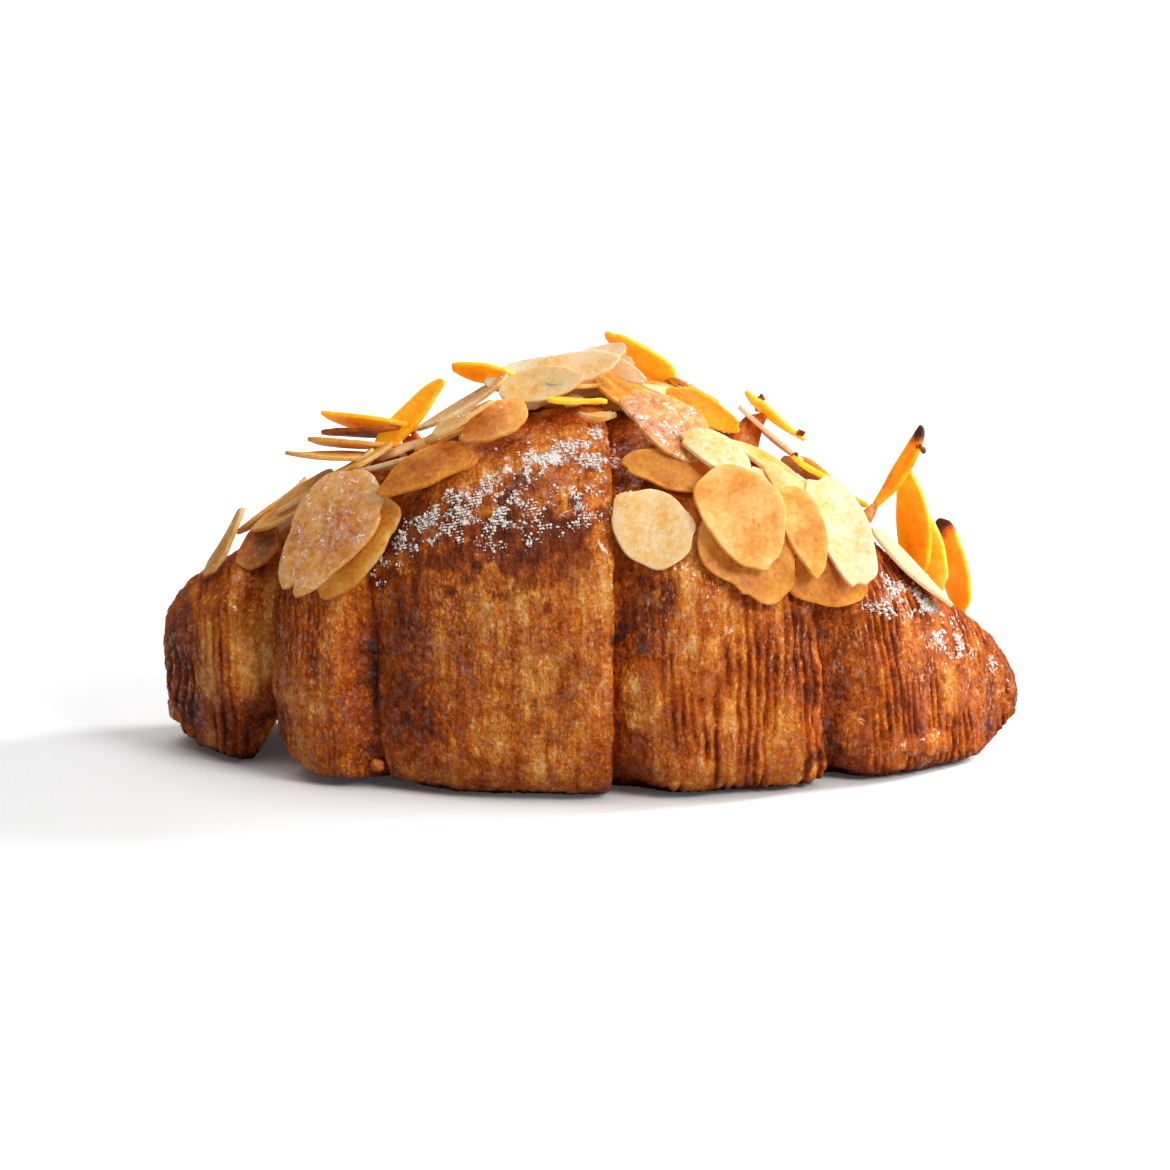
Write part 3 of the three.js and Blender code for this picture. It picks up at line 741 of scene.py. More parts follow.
plate = model_slice()
plate_points = points_of(plate) / MM
print("one slice:", len(plate.data.vertices), "vertices,", np.round(np.ptp(plate_points, 0), 2), "mm")

# %% [markdown]
# ## Where the slices lie
# Each slice lies at a station and an angle of the crust. Spin turns its narrow end from +X up the side,
# pitch raises that end, roll tips it, and lift is the height of its heel. Size and slim change its
# outline, and curl bends its ends up or, below nothing, down. Toast says how brown it baked, from cream
# to dark, burnt how far its narrow end is charred, and frost how much sugar it got. A slice with the
# light behind it is marked for a deeper painted yellow and a painted glow. Snap and heel_snap cut its ends
# off where they broke, and chips are nicks in its rim.
# The slices that the picture shows are laid one by one. Those that they hide, and those past the ridge,
# are drawn from ranges by the seeded rule that placed them on the solid.

# %% Slices laid one by one
def laid(along, around, spin, lift, size, toast, **more):
    more.update(along=along, around=around, spin=spin, lift=lift, size=size, toast=toast)
    return more


LAID_SLICES = [
    # Right of the crown, lowest layer first
    laid(30.5, 33, 3, 4.1, 0.76, 0.6, pitch=3, roll=11, slim=0.9, curl=-1),
    laid(20, 34, -47, 1.1, 0.84, 0.5, pitch=2, roll=6, slim=1.45, curl=-1),
    laid(9.5, 52, 176, 1.3, 0.68, 0.55, pitch=-6, roll=-11, slim=0.85, curl=-1),
    laid(9, 62.5, 157, 3.3, 0.72, 0.55, pitch=6, roll=-15, slim=1.25, curl=-1, frost=0.9),
    laid(6.5, 36.5, 143, 2.1, 0.68, 0.24, pitch=-1, roll=-5, slim=1.4, curl=-1, frost=0.6),
    laid(15.5, 56, 161, 4.4, 0.62, 0.3, roll=-2, curl=-1, frost=0.8),
    laid(25, 54.5, -60, 3.7, 0.46, 0.2, pitch=-5, roll=12, slim=0.6, curl=-1),
    laid(26.5, 42.5, -59, 4.9, 0.76, 0.42, pitch=-3, roll=8, slim=0.8, curl=-1),
    laid(18, 40.5, -53, 4.9, 0.86, 0.36, pitch=-3, roll=9, slim=1.25, curl=-1),
    laid(32.5, 47.5, -64, 5.6, 1.02, 0.14, pitch=1, roll=17, slim=0.8, curl=-1, frost=0.5,
         snap=0.86, heel_snap=0.9),
    laid(16, 76, -22, 3.5, 0.64, 0.5, pitch=-2, roll=59, slim=0.6, sheer=True),
    laid(28.5, 95.5, -16, 5.7, 0.64, 0.1, pitch=-6, roll=4, frost=0.6),
    laid(28, 95.5, -16, 8.1, 0.58, 0.3, pitch=-5, roll=-1, burnt=0.3, sheer=True),
    laid(34, 84, -24, 4.5, 0.36, 0.4, pitch=3, roll=2, slim=1.05, sheer=True),
    laid(40.5, 82, -28, 3.2, 0.38, 0.4, pitch=2, roll=3, slim=1.05, sheer=True),
    # Right shoulder, one flat and four upright
    laid(49, 57.5, -41, 0.9, 0.88, 0.15, roll=-3, slim=0.95, frost=0.6),
    laid(43, 76, -8, 6.3, 0.72, 0.5, pitch=97, roll=-7, slim=0.85, burnt=1, sheer=True),
    laid(50.5, 82, -21, 1.3, 0.88, 0.42, pitch=132, roll=19, slim=0.85, sheer=True),
    laid(55, 85, -20, 1.2, 0.72, 0.2, pitch=136, roll=40, slim=0.6, sheer=True),
    laid(59, 87.5, -20, 1.5, 0.8, 0.36, pitch=137, roll=14, slim=0.9, burnt=0.9, sheer=True),
    # Crown
    laid(-9, 95, 30, 1.6, 0.9, 0.3, roll=6, slim=1.2),
    laid(3, 93, -40, 1.8, 0.9, 0.4, roll=8, slim=1.2),
    laid(-3, 87, 100, 3.4, 0.8, 0.35, roll=14, slim=1.15),
    laid(7.5, 83, 15, 2.6, 0.8, 0.45, roll=14, slim=1.1),
    laid(-2, 70.5, -4, 3.4, 0.46, 0.3, pitch=-8, roll=-20, slim=0.85, sheer=True),
    laid(-7, 77, -4, 5.2, 0.66, 0.2, roll=42, slim=0.8),
    laid(-1, 80, -12, 6.6, 0.62, 0.14, roll=40, slim=0.85, frost=0.3),
    laid(4.5, 81, -45, 8.2, 0.4, 0.12, pitch=-11, roll=62, slim=0.6, snap=0.8, heel_snap=0.85),
    laid(-9, 92, 8, 6.2, 0.7, 0.1, roll=36, slim=0.85, frost=0.6),
    laid(3, 94, 5, 8.5, 0.36, 0.08, pitch=13, roll=32, slim=1.15, frost=0.3),
    laid(1.5, 97, -15, 7, 0.72, 0.1, roll=42, slim=0.9, frost=0.4),
    laid(7.5, 97.5, 171, 4.8, 0.68, 0.3, pitch=21, roll=30, sheer=True),
    laid(-16, 91, 186, 6.5, 0.5, 0.45, pitch=22, roll=30, slim=0.9, sheer=True),
    # Left of the crown, from the crown outwards
    laid(-13.5, 64.5, -161, 4, 0.56, 0.5, pitch=-4, roll=-17, slim=1.05, curl=-1, frost=0.2),
    laid(-17, 64.5, 20, 5.3, 0.52, 0.35, pitch=6, roll=-12, slim=0.7, frost=0.6),
    laid(-20, 87.5, 13, 2.3, 0.84, 0.3, pitch=14, roll=6, frost=0.8),
    laid(-22.5, 57, 196, 1.6, 0.76, 0.6, pitch=8, roll=-13, slim=0.75, curl=-1),
    laid(-26.5, 66.5, -14, 2.4, 0.96, 0.2, roll=-34, slim=0.6, frost=0.8),
    laid(-28, 92.5, 15, 4.2, 0.76, 0.42, pitch=26, roll=44, slim=0.6, sheer=True),
    laid(-34, 92.5, 203, 4.2, 0.76, 0.45, pitch=35, roll=8, sheer=True),
    laid(-35.5, 92, 204, 3.2, 0.72, 0.85, pitch=28, roll=6),
    laid(-37, 89, 205, 1.2, 0.78, 0.4, pitch=33, roll=2),
    laid(-39, 81, 206, 1.8, 0.72, 0.34, pitch=35, roll=-1),
    laid(-41, 78, 15, 2.4, 0.9, 0.3, roll=-4, slim=1.1, frost=0.5),
    laid(-33, 46, -129, 1.5, 0.92, 0.5, pitch=1, roll=-6, slim=1.3, curl=-1),
    laid(-36, 48.5, -132, 2.4, 1.12, 0.5, roll=-11, slim=1.1, curl=-1, frost=0.8,
         chips=[(0.0, 0.22, 0.15)]),
    laid(-45, 74, 200, 4, 0.8, 0.4, roll=-10, frost=0.3),
    laid(-50.5, 63, 226, 3.8, 0.42, 0.7, pitch=-9, roll=-31, slim=1.4, frost=0.2),
    laid(-47, 92, 20, 6, 0.8, 0.2, pitch=6, frost=0.9),
    laid(-49, 101, 26, 6.5, 0.56, 0.3, pitch=-3, roll=2, frost=1),
    laid(-49, 84.5, 31, 7.6, 0.68, 0.34, pitch=7, roll=-5, frost=0.6),
    laid(-56.5, 65.5, 48, 0.4, 0.6, 0.4, pitch=27, frost=0.4),
]
print(len(LAID_SLICES), "slices laid by hand")

# %% Slices drawn from ranges
DRAW = {"step": 16807, "cycle": 2147483647}
UNDER = {"count": 12, "from": -47, "to": 44, "seed": 5, "rows": (3, 15, 27), "waver": 5, "roll": (-8, 8),
         "lifts": (0.8, 2.2, 3.6), "size": (0.62, 0.86), "slim": (0.95, 1.25), "curl": -0.8}
INNER = {"count": 12, "from": -52, "to": 52, "seed": 11, "rows": (103, 126), "waver": 8, "roll": (-14, 14),
         "lift": (0.6, 2.4), "size": (0.75, 1.05), "slim": (0.95, 1.3), "curl": SLICE["curl"]}
COVER_LINE = [
    (-56, 74), (-45, 70), (-33, 68), (-24, 72), (-14, 82), (-4, 88), (4, 86), (12, 74), (28, 66), (44, 72),
]
DRAWN_TOAST = (0.14, 0.4, 0.24, 0.55, 0.3)
DRAWN_FROST = (0.6, 0.0, 0.9, 0.2)


def seeded_draw(seed):
    """A repeatable run of numbers from 0 to 1, the same run that placed these slices on the solid."""
    state = seed
    while True:
        state = state * DRAW["step"] % DRAW["cycle"]
        yield state / DRAW["cycle"]


def drawn(draw, low, high):
    return low + (high - low) * next(draw)


def drawn_slices(kind):
    """Rows of slices. Those with fixed lifts lie under the others, from the line where the cover starts."""
    draw = seeded_draw(kind["seed"])
    slices = []
    for i in range(kind["count"]):
        along = kind["from"] + (kind["to"] - kind["from"]) * (i + next(draw)) / kind["count"]
        line = np.interp(along, *zip(*COVER_LINE)) if "lifts" in kind else 0
        around = line + kind["rows"][i % len(kind["rows"])] + drawn(draw, -kind["waver"], kind["waver"])
        spin = drawn(draw, 0, FULL_TURN)
        roll = drawn(draw, *kind["roll"])
        lift = kind["lifts"][i % len(kind["lifts"])] if "lifts" in kind else drawn(draw, *kind["lift"])
        size = drawn(draw, *kind["size"])
        slim = drawn(draw, *kind["slim"])
        slices.append(laid(along, around, spin, lift, size, 0.0, roll=roll, slim=slim, curl=kind["curl"]))
    return slices


hidden_slices = drawn_slices(UNDER) + drawn_slices(INNER)
for i, item in enumerate(hidden_slices):
    item["toast"] = DRAWN_TOAST[i % len(DRAWN_TOAST)]
    item["frost"] = DRAWN_FROST[i % len(DRAWN_FROST)]
all_slices = LAID_SLICES + hidden_slices
print(len(all_slices), "slices in all")

# %% [markdown]
# ## Laying the slices
# A seat is a point of the crust with three directions: along the loaf, up its side, and out of it. Each
# slice is a copy of the plate with its own mesh, bent a little differently, turned and set down on its
# seat. Small slivers lie between them. Once all are down they are joined into one piece, because toppings
# of one kind are one piece.

# %% Seats and turns
HEEL = 0.8
SEAT_STEP = 0.01


def turn_about(axis, degrees):
    c, s = math.cos(math.radians(degrees)), math.sin(math.radians(degrees))
    a, b = {"X": (1, 2), "Y": (2, 0), "Z": (0, 1)}[axis]
    turn = np.eye(3)
    turn[a, a] = turn[b, b] = c
    turn[a, b], turn[b, a] = -s, s
    return turn


def seat(along, around):
    """A point of the crust, and the directions along the loaf, up its side and out of it as rows."""
    inset = sum(edge_inset(edge, along) for edge in EDGES)
    angle = math.radians(around)
    spots = crust_point(
        np.array([along, along + SEAT_STEP, along]), np.array([angle, angle, angle + SEAT_STEP]), inset)
    ahead = (spots[1] - spots[0]) / np.linalg.norm(spots[1] - spots[0])
    out = np.cross(ahead, spots[2] - spots[0])
    out /= np.linalg.norm(out)
    return spots[0], np.stack([ahead, np.cross(out, ahead), out])


def heel_of(item):
    """How far the heel of a raised slice lies from its middle."""
    return HEEL * SLICE["length"] * item["size"] / 2 if item.get("pitch") else 0


print("seat on the crown, in mm:", np.round(seat(CROWN["at"], 90)[0], 1))

# %% Outline and bend of a slice
RIM_WAVES = [(2, 0.03), (3, 0.03), (5, 0.022), (8, 0.015)]
CHIPS = {"count": 3, "place": (-3, 3), "deep": (0.03, 0.09), "half": (0.08, 0.2)}
SNAP = {"jag": 0.03, "jags": 9, "least": 0.05}
PHASE = (0, 6)
WAVE = {"height": 0.35, "along": 2.4, "across": 1.7}
CUP = (-0.5, 0.7)
BEND_SHARE = 0.5
THIN = {"middle": 0.86, "rim": 0.2}
SLICE_SEED = 100


def outline(item, turn, rng):
    """How far a slice's rim reaches in each direction: nearly even, chipped, and cut off where it snapped."""
    reach = 1 + sum(height * np.sin(count * turn + rng.uniform(*PHASE)) for count, height in RIM_WAVES)
    chips = [
        (rng.uniform(*CHIPS["place"]), rng.uniform(*CHIPS["deep"]), rng.uniform(*CHIPS["half"]))
        for i in range(CHIPS["count"])]
    for place, deep, half in chips + item.get("chips", []):
        away = np.angle(np.exp(1j * (turn - place)))
        reach -= deep * np.exp(-(away / half) ** 2)
    for end, key in ((1, "snap"), (-1, "heel_snap")):
        if key in item:
            jag = SNAP["jag"] * np.sin(SNAP["jags"] * np.sin(turn) + rng.uniform(*PHASE))
            reach = np.minimum(reach, (item[key] + jag) / np.maximum(end * np.cos(turn), SNAP["least"]))
    return reach


def bent_plate(item, seed):
    """The plate's points with this slice's own outline, curl and waves."""
    rng = np.random.default_rng(seed)
    length = SLICE["length"] * item["size"]
    width = SLICE["width"] * item["size"] * item.get("slim", 1)
    share = plate_points[:, :2] / (SLICE["length"] / 2)
    away = np.hypot(share[:, 0], share[:, 1])
    share = share * outline(item, np.arctan2(share[:, 1], share[:, 0]), rng)[:, None]
    x = length / 2 * share[:, 0]
    y = width / 2 * share[:, 1] * (1 - SLICE["narrowing"] * share[:, 0])
    phase = WAVE["along"] * share[:, 0] + WAVE["across"] * share[:, 1] + rng.uniform(*PHASE)
    cup = rng.uniform(*CUP) * share[:, 1] ** 2
    z = plate_points[:, 2] * (THIN["middle"] - THIN["rim"] * away)
    z = z + item.get("curl", SLICE["curl"]) * (share[:, 0] ** 2 - SLICE["curl_rest"])
    z = z + BEND_SHARE * (WAVE["height"] * np.sin(phase) + cup)
    return np.column_stack([x, y, z]), away, share[:, 0]


# %% Lay them
BURNT_BAND = (0.45, 0.95)
SLIVER_COUNT = 44
SLIVER_SEED = 3
SLIVERS = {
    "along": (-46, 44), "around": (56, 122), "spin": (0, FULL_TURN), "roll": (-25, 25), "lift": (0.6, 2.2),
    "size": (0.14, 0.3), "slim": (0.7, 1.6), "toast": (0.1, 0.6), "frost": (0, 0.6),
}


def laid_points(item, number):
    """A slice's points on the loaf, how near each is to the rim, and how far along the slice."""
    points, away, lengthwise = bent_plate(item, SLICE_SEED + number)
    pitch = item.get("pitch", 0)
    place, axes = seat(item["along"], item["around"])
    turned = points @ (turn_about("Y", -pitch) @ turn_about("X", item.get("roll", 0))).T
    turned[:, 2] += item["lift"] + heel_of(item) * math.sin(math.radians(pitch))
    turned = turned @ turn_about("Z", item["spin"]).T
    return place + turned @ axes, away, lengthwise


def lay_slice(item, number):
    points, away, lengthwise = laid_points(item, number)
    piece = plate.copy()
    piece.data = plate.data.copy()
    bpy.context.collection.objects.link(piece)
    set_points(piece, points)
    set_mask(piece, "sheer", float(item.get("sheer", False)))
    set_mask(piece, "toast", item["toast"])
    set_mask(piece, "rim", away)
    set_mask(piece, "burnt", item.get("burnt", 0) * smoothstep(lengthwise, *BURNT_BAND))
    set_mask(piece, "sugar", item.get("frost", 0))
    return piece


def join_pieces(pieces, name):
    bpy.ops.object.select_all(action="DESELECT")
    for piece in pieces:
        piece.select_set(True)
    bpy.context.view_layer.objects.active = pieces[0]
    bpy.ops.object.join()
    joined = bpy.context.object
    joined.name = joined.data.name = name
    return joined


rng = np.random.default_rng(SLIVER_SEED)
slivers = [{key: rng.uniform(*span) for key, span in SLIVERS.items()} for i in range(SLIVER_COUNT)]
almonds = join_pieces(
    [lay_slice(item, number) for number, item in enumerate(all_slices + slivers)], "almond_slices")
bpy.data.objects.remove(plate)
print("almond slices:", triangles_of(almonds), "triangles")

# %% [markdown]
# ## Almond cream
# A dab of almond cream holds each slice, and browns in the oven. A dab is a lumpy mound from a small UV
# sphere under the slice's heel. It is made where it shows: under low slices, under upright ones, and, as
# tall mounds, under the two strips that stand highest. One small drip has run down to the tray between
# two wraps.

# %% Almond cream
CREAM = {"half": 2.4, "highest": 2, "steep": 20, "steep_half": 1.4, "least": 0.3, "below": 0.9}
BALL = {"segments": 18, "rings": 10, "lumps": 0.5, "pitch": 0.6}
HIGH_STRIPS = {11: 2.6, 12: 2.2}
HIGH_STRIP_HEEL = 0.5
DRIP = {"along": -31.5, "around": -33, "half": 1.3, "out": 0.9, "seed": 99}


def add_dab(place, axes, half, up, seed):
    bpy.ops.object.select_all(action="DESELECT")
    bpy.ops.mesh.primitive_uv_sphere_add(segments=BALL["segments"], ring_count=BALL["rings"], radius=1)
    dab = bpy.context.object
    ball = points_of(dab)
    lumps = 1 + BALL["lumps"] * (smooth_noise(ball + seed, BALL["pitch"], seed) - 0.5)
    set_points(dab, place + (ball * lumps[:, None] * [half, half, up]) @ axes)
    bpy.ops.object.shade_smooth()
    return dab


dabs = []
for number, item in enumerate(all_slices):
    place, axes = seat(item["along"], item["around"])
    pitch, lift = item.get("pitch", 0), item["lift"]
    reach = -heel_of(item) * math.cos(math.radians(pitch))
    to_heel = turn_about("Z", item["spin"]) @ [reach, 0, 0] @ axes
    if pitch > CREAM["steep"] or lift < CREAM["highest"]:
        half = CREAM["steep_half"] if pitch > CREAM["steep"] else CREAM["half"]
        dabs.append(add_dab(place + to_heel, axes, half, max(CREAM["least"], lift - CREAM["below"]), number))
    if number in HIGH_STRIPS:
        dabs.append(add_dab(place + HIGH_STRIP_HEEL * to_heel, axes, HIGH_STRIPS[number], lift, number))
place, axes = seat(DRIP["along"], DRIP["around"])
dabs.append(add_dab(place, axes, DRIP["half"], DRIP["out"], DRIP["seed"]))
print(len(dabs), "dabs of cream")
cream = join_pieces(dabs, "almond_cream")

# %% [markdown]
# ## Crumbs
# A few burnt crumbs stuck to the slices that stand proud. Each is an icosphere made lumpy by noise. They
# carry the masks of a scorched place, so that they can share the crust's material.

# %% Crumbs
CRUMBED = [
    {"slice": 12, "lengthwise": -0.5, "count": 6, "size": 0.8},
    {"slice": 12, "lengthwise": 0.9, "count": 3, "size": 0.5},
    {"slice": 13, "lengthwise": -0.7, "count": 3, "size": 0.5},
    {"slice": 16, "lengthwise": 0.3, "count": 3, "size": 0.5},
]
CRUMB = {"rise": 0.35, "scatter": 0.45, "near": 0.2, "least": 0.7, "lumps": 0.7, "pitch": 0.7, "apart": 9}
CRUMB_STRETCH = (0.5, 1.3)
CRUMB_SEED = 21
CRUMB_MASKS = {
    "painted_glints": 0.0, "crest": 0.9, "scorch_and_shade": 0.5, "pale": 0.0, "bake_and_shade": 0.15, "strand": 0.0, "sugar": 0.0,
}


def add_crumb(place, size, number, rng):
    bpy.ops.object.select_all(action="DESELECT")
    bpy.ops.mesh.primitive_ico_sphere_add(subdivisions=3, radius=1)
    crumb = bpy.context.object
    ball = points_of(crumb)
    lumps = smooth_noise(ball + CRUMB["apart"] * number, CRUMB["pitch"], number)
    lumps = CRUMB["least"] + CRUMB["lumps"] * lumps
    set_points(crumb, place + ball * lumps[:, None] * (rng.uniform(*CRUMB_STRETCH, 3) * size))
    bpy.ops.object.shade_smooth()
    return crumb


rng = np.random.default_rng(CRUMB_SEED)
crumbs = []
for cluster in CRUMBED:
    number = cluster["slice"]
    points, away, lengthwise = laid_points(all_slices[number], number)
    near = points[np.abs(lengthwise - cluster["lengthwise"]) < CRUMB["near"]]
    middle = near[rng.choice(len(near))] + [0, 0, CRUMB["rise"]]
    for place in middle + rng.normal(0, CRUMB["scatter"], (cluster["count"], 3)):
        crumbs.append(add_crumb(place, cluster["size"], len(crumbs), rng))
print(len(crumbs), "crumbs")
crumb_pile = join_pieces(crumbs, "crumbs")
for name, value in CRUMB_MASKS.items():
    set_mask(crumb_pile, name, value)

# %% [markdown]
# ## Icing sugar
# Icing sugar lies in small clumps where it fell. One rough grain of few faces is copied thousands of
# times into one mesh, straight from arrays, because that many objects would be slow. The grains land on
# vertices of the crust and the slices whose sugar mask is high, and more on the wraps where the picture
# shows more.

# %% Places for the sugar
GRAINS_ON_CRUST = 6000
GRAINS_ON_SLICES = 1800
GRAIN_SHARES = (0.06, 0.06, 0.5, 0.08, 0.3)
CLUMP = {"pitch": 2.2, "seed": 5, "band": (0.45, 0.8), "power": 1.5, "upward": (0.0, 0.5)}
SUGAR_SEED = 7


def places_for(piece, count, rng):
    """Seeded places on a piece, with normals, chosen by its sugar mask."""
    number = len(piece.data.vertices)
    mask = np.empty(number, np.float32)
    piece.data.attributes["sugar"].data.foreach_get("value", mask)
    points = np.empty(3 * number, np.float32)
    normals = np.empty(3 * number, np.float32)
    piece.data.vertices.foreach_get("co", points)
    piece.data.vertex_normals.foreach_get("vector", normals)
    points, normals = points.reshape(-1, 3) / MM, normals.reshape(-1, 3)
    clumps = smoothstep(smooth_noise(points, CLUMP["pitch"], CLUMP["seed"]), *CLUMP["band"])
    weight = mask ** CLUMP["power"] * clumps * smoothstep(normals[:, 2], *CLUMP["upward"])
    chosen = rng.choice(number, count, p=weight / weight.sum())
    return points[chosen], normals[chosen]


rng = np.random.default_rng(SUGAR_SEED)
found = [places_for(piece, round(GRAINS_ON_CRUST * share), rng) for piece, share in zip(wraps, GRAIN_SHARES)]
found.append(places_for(almonds, GRAINS_ON_SLICES, rng))
grain_points = np.vstack([points for points, normals in found])
grain_normals = np.vstack([normals for points, normals in found])
print(len(grain_points), "grains of sugar")

# %% Scatter the grains
GRAIN = {"least": 0.1, "most": 0.36, "sink": 0.35, "stretch": (0.35, 1.2), "on_slices": 0.6}


def scatter(name, shape, faces, points, normals, sizes, rng):
    """Many turned copies of one small shape, as one mesh."""
    turns = rng.normal(size=(len(points), 3, 3))
    turns = np.linalg.qr(turns)[0]
    turns *= np.sign(np.linalg.det(turns))[:, None, None]
    stretch = rng.uniform(*GRAIN["stretch"], (len(points), 1, 3))
    cloud = (shape[None] * stretch) @ turns * sizes[:, None, None]
    cloud += (points + normals * sizes[:, None] * GRAIN["sink"])[:, None]
    corners = faces[None] + len(shape) * np.arange(len(points))[:, None, None]
    mesh = bpy.data.meshes.new(name)
    mesh.from_pydata(cloud.reshape(-1, 3) * MM, [], corners.reshape(-1, 3).tolist())
    piece = bpy.data.objects.new(name, mesh)
    bpy.context.collection.objects.link(piece)
    return piece


bpy.ops.object.select_all(action="DESELECT")
bpy.ops.mesh.primitive_ico_sphere_add(subdivisions=1, radius=1)
grain = bpy.context.object
grain_shape = np.array([vertex.co for vertex in grain.data.vertices])
grain_faces = np.array([face.vertices[:] for face in grain.data.polygons])
bpy.data.objects.remove(grain)
grain_sizes = rng.uniform(0, 1, len(grain_points)) ** 2 * (GRAIN["most"] - GRAIN["least"]) + GRAIN["least"]
grain_sizes[-GRAINS_ON_SLICES:] *= GRAIN["on_slices"]
sugar = scatter("icing_sugar", grain_shape, grain_faces, grain_points, grain_normals, grain_sizes, rng)
print("sugar:", triangles_of(sugar), "triangles")

# %% [markdown]
# ## Shared effects: colours, browning and sugar dust
# Browning and sugar dust show on the crust, the cream and the almonds, so each is a node group, built
# once and given its own values in each material. Groups put out only colours, masks and heights, and the
# shader stays in the material. Patterns read Object coordinates, so they stay on the loaf wherever it
# goes.

# %% Colours, noises and groups
def shade(red, green, blue):
    """A colour as a screen shows it, 0 to 255, made linear for the shader."""
    def linear(value):
        value /= 255
        return value / 12.92 if value <= 0.04045 else ((value + 0.055) / 1.055) ** 2.4
    return (linear(red), linear(green), linear(blue), 1)


def noise(tree, scale, detail=2.0, rough=0.5, stretch=None):
    """Noise over the piece, drawn out round the loaf, along the strands, where a stretch is given."""
    place = add_node(tree, "ShaderNodeTexCoord").outputs["Object"]
    if stretch:
        squeezed = {"Vector": place, "Scale": (1, stretch, stretch)}
        place = add_node(tree, "ShaderNodeMapping", squeezed).outputs["Vector"]
    values = {"Vector": place, "Scale": scale, "Detail": detail, "Roughness": rough}
    return add_node(tree, "ShaderNodeTexNoise", values).outputs["Fac"]


def swing(tree, *settings, **more):
    """Noise that swings to both sides of nothing."""
    return calc(tree, "SUBTRACT", noise(tree, *settings, **more), 0.5)


def change(tree, total, operation, value, share, clamp=False):
    """A total with a share of another value added to it or taken off it."""
    return calc(tree, operation, total, calc(tree, "MULTIPLY", value, share), clamp)


def mix_colours(tree, factor, first, second):
    node = add_node(tree, "ShaderNodeMix", {0: factor, 6: first, 7: second}, data_type="RGBA")
    return node.outputs[2]


def ramp(tree, value, stops):
    node = add_node(tree, "ShaderNodeValToRGB", {"Fac": value})
    elements = node.color_ramp.elements
    while len(elements) < len(stops):
        elements.new(0.5)
    for element, (place, colour) in zip(elements, stops):
        element.position = place
        element.color = colour
    return node.outputs["Color"]


def new_group(name, inputs, outputs):
    """A node group whose sockets are given as name and type."""
    tree = bpy.data.node_groups.new(name, "ShaderNodeTree")
    for sockets, direction in ((inputs, "INPUT"), (outputs, "OUTPUT")):
        for socket, kind in sockets.items():
            tree.interface.new_socket(socket, in_out=direction, socket_type="NodeSocket" + kind)
    return tree, add_node(tree, "NodeGroupInput").outputs, add_node(tree, "NodeGroupOutput")


def use_group(tree, group, inputs):
    return add_node(tree, "ShaderNodeGroup", inputs, node_tree=group).outputs


# %% Browning
BROWNS = [
    (0.0, shade(252, 196, 116)), (0.2, shade(234, 148, 56)), (0.42, shade(204, 102, 22)),
    (0.62, shade(162, 68, 10)), (0.8, shade(114, 44, 8)), (1.0, shade(68, 32, 22)),
]
RED_BROWN = shade(178, 74, 24)
BROWNING = {"mottle": 0.65, "speck": 0.24, "red": 0.4, "mottle_height": 0.5}


def browning_group():
    """How dark dough has baked: blotches, grains and streaks round a level, as a colour and a height."""
    tree, given, result = new_group(
        "browning", {"Level": "Float", "Blotch": "Float", "Grain": "Float", "Streak": "Float"},
        {"Color": "Color", "Height": "Float"})
    blotch = swing(tree, 120, 3)
    mottle = swing(tree, 430, 3, 0.6)
    grain = swing(tree, 1500, 3, 0.65)
    streak = swing(tree, 1000, 2, 0.6, stretch=0.25)
    band = swing(tree, 330, 2, 0.6, stretch=0.12)
    speck = spread(tree, noise(tree, 1800, 2, 0.6, stretch=0.6), 0.54, 0.68)
    level = change(tree, given["Level"], "ADD", calc(tree, "ADD", blotch, band), given["Blotch"])
    level = change(tree, level, "ADD", mottle, BROWNING["mottle"])
    level = change(tree, level, "SUBTRACT", grain, given["Grain"])
    level = change(tree, level, "SUBTRACT", streak, given["Streak"])
    level = change(tree, level, "SUBTRACT", speck, BROWNING["speck"], clamp=True)
    red = spread(tree, noise(tree, 210), 0.5, 0.68, 0.0, BROWNING["red"])
    height = change(tree, calc(tree, "ADD", streak, grain), "ADD", mottle, BROWNING["mottle_height"])
    colour = mix_colours(tree, red, ramp(tree, level, BROWNS), RED_BROWN)
    feed(tree, result, {"Color": colour, "Height": height})
    return tree


browning = browning_group()


# %% Sugar dust
SUGAR_WHITE = shade(250, 246, 240)
DUST = {"cover": 0.42, "clump_band": (0.42, 0.68), "fleck_band": (0.74, 0.84)}


def sugar_group():
    """Fine flecks of icing sugar where the amount is high, as a mask."""
    tree, given, result = new_group("sugar_dust", {"Amount": "Float"}, {"Mask": "Float"})
    clump = spread(tree, noise(tree, 420, 3), *DUST["clump_band"])
    cover = calc(tree, "MULTIPLY", given["Amount"], clump)
    cover = change(tree, noise(tree, 1900, 2, 0.7), "ADD", cover, DUST["cover"])
    feed(tree, result, {"Mask": spread(tree, cover, *DUST["fleck_band"])})
    return tree


sugar_dust = sugar_group()
print("node groups:", [group.name for group in bpy.data.node_groups])

# %% [markdown]
# ## Baked crust
# Crust is darkest where it scorched, and golden where a wrap was covered and pulled apart late. The
# grooves between strands are painted darker, as painted shade, and the masks for baking, scorch and pale
# spots also carry painted shade in valleys, on shaded sides and at the foot, and painted light on the lit
# side of the middle wrap. Syrup left it glossy in flecks, so a thin coat lies over it there, which sugar
# dulls. Small pale glints along the strands are painted highlights.

# %% Crust
SCORCH_BROWN = shade(90, 42, 26)
PAINTED_GLINT = shade(255, 214, 170)
CRUST = {"level": 0.44, "groove_shade": 0.5, "crest": 0.85, "scorch_and_shade": 0.26, "pale": 0.16, "blotch": 0.8,
         "scorch_tint": 0.55, "glint": 0.6, "specular": 0.1, "coat_roughness": 0.08}
GRAIN_BY_STRAND = (0.8, 0.45)
STREAK_BY_STRAND = (0.05, 0.3)
DULL_TO_WET = (0.46, 0.22)


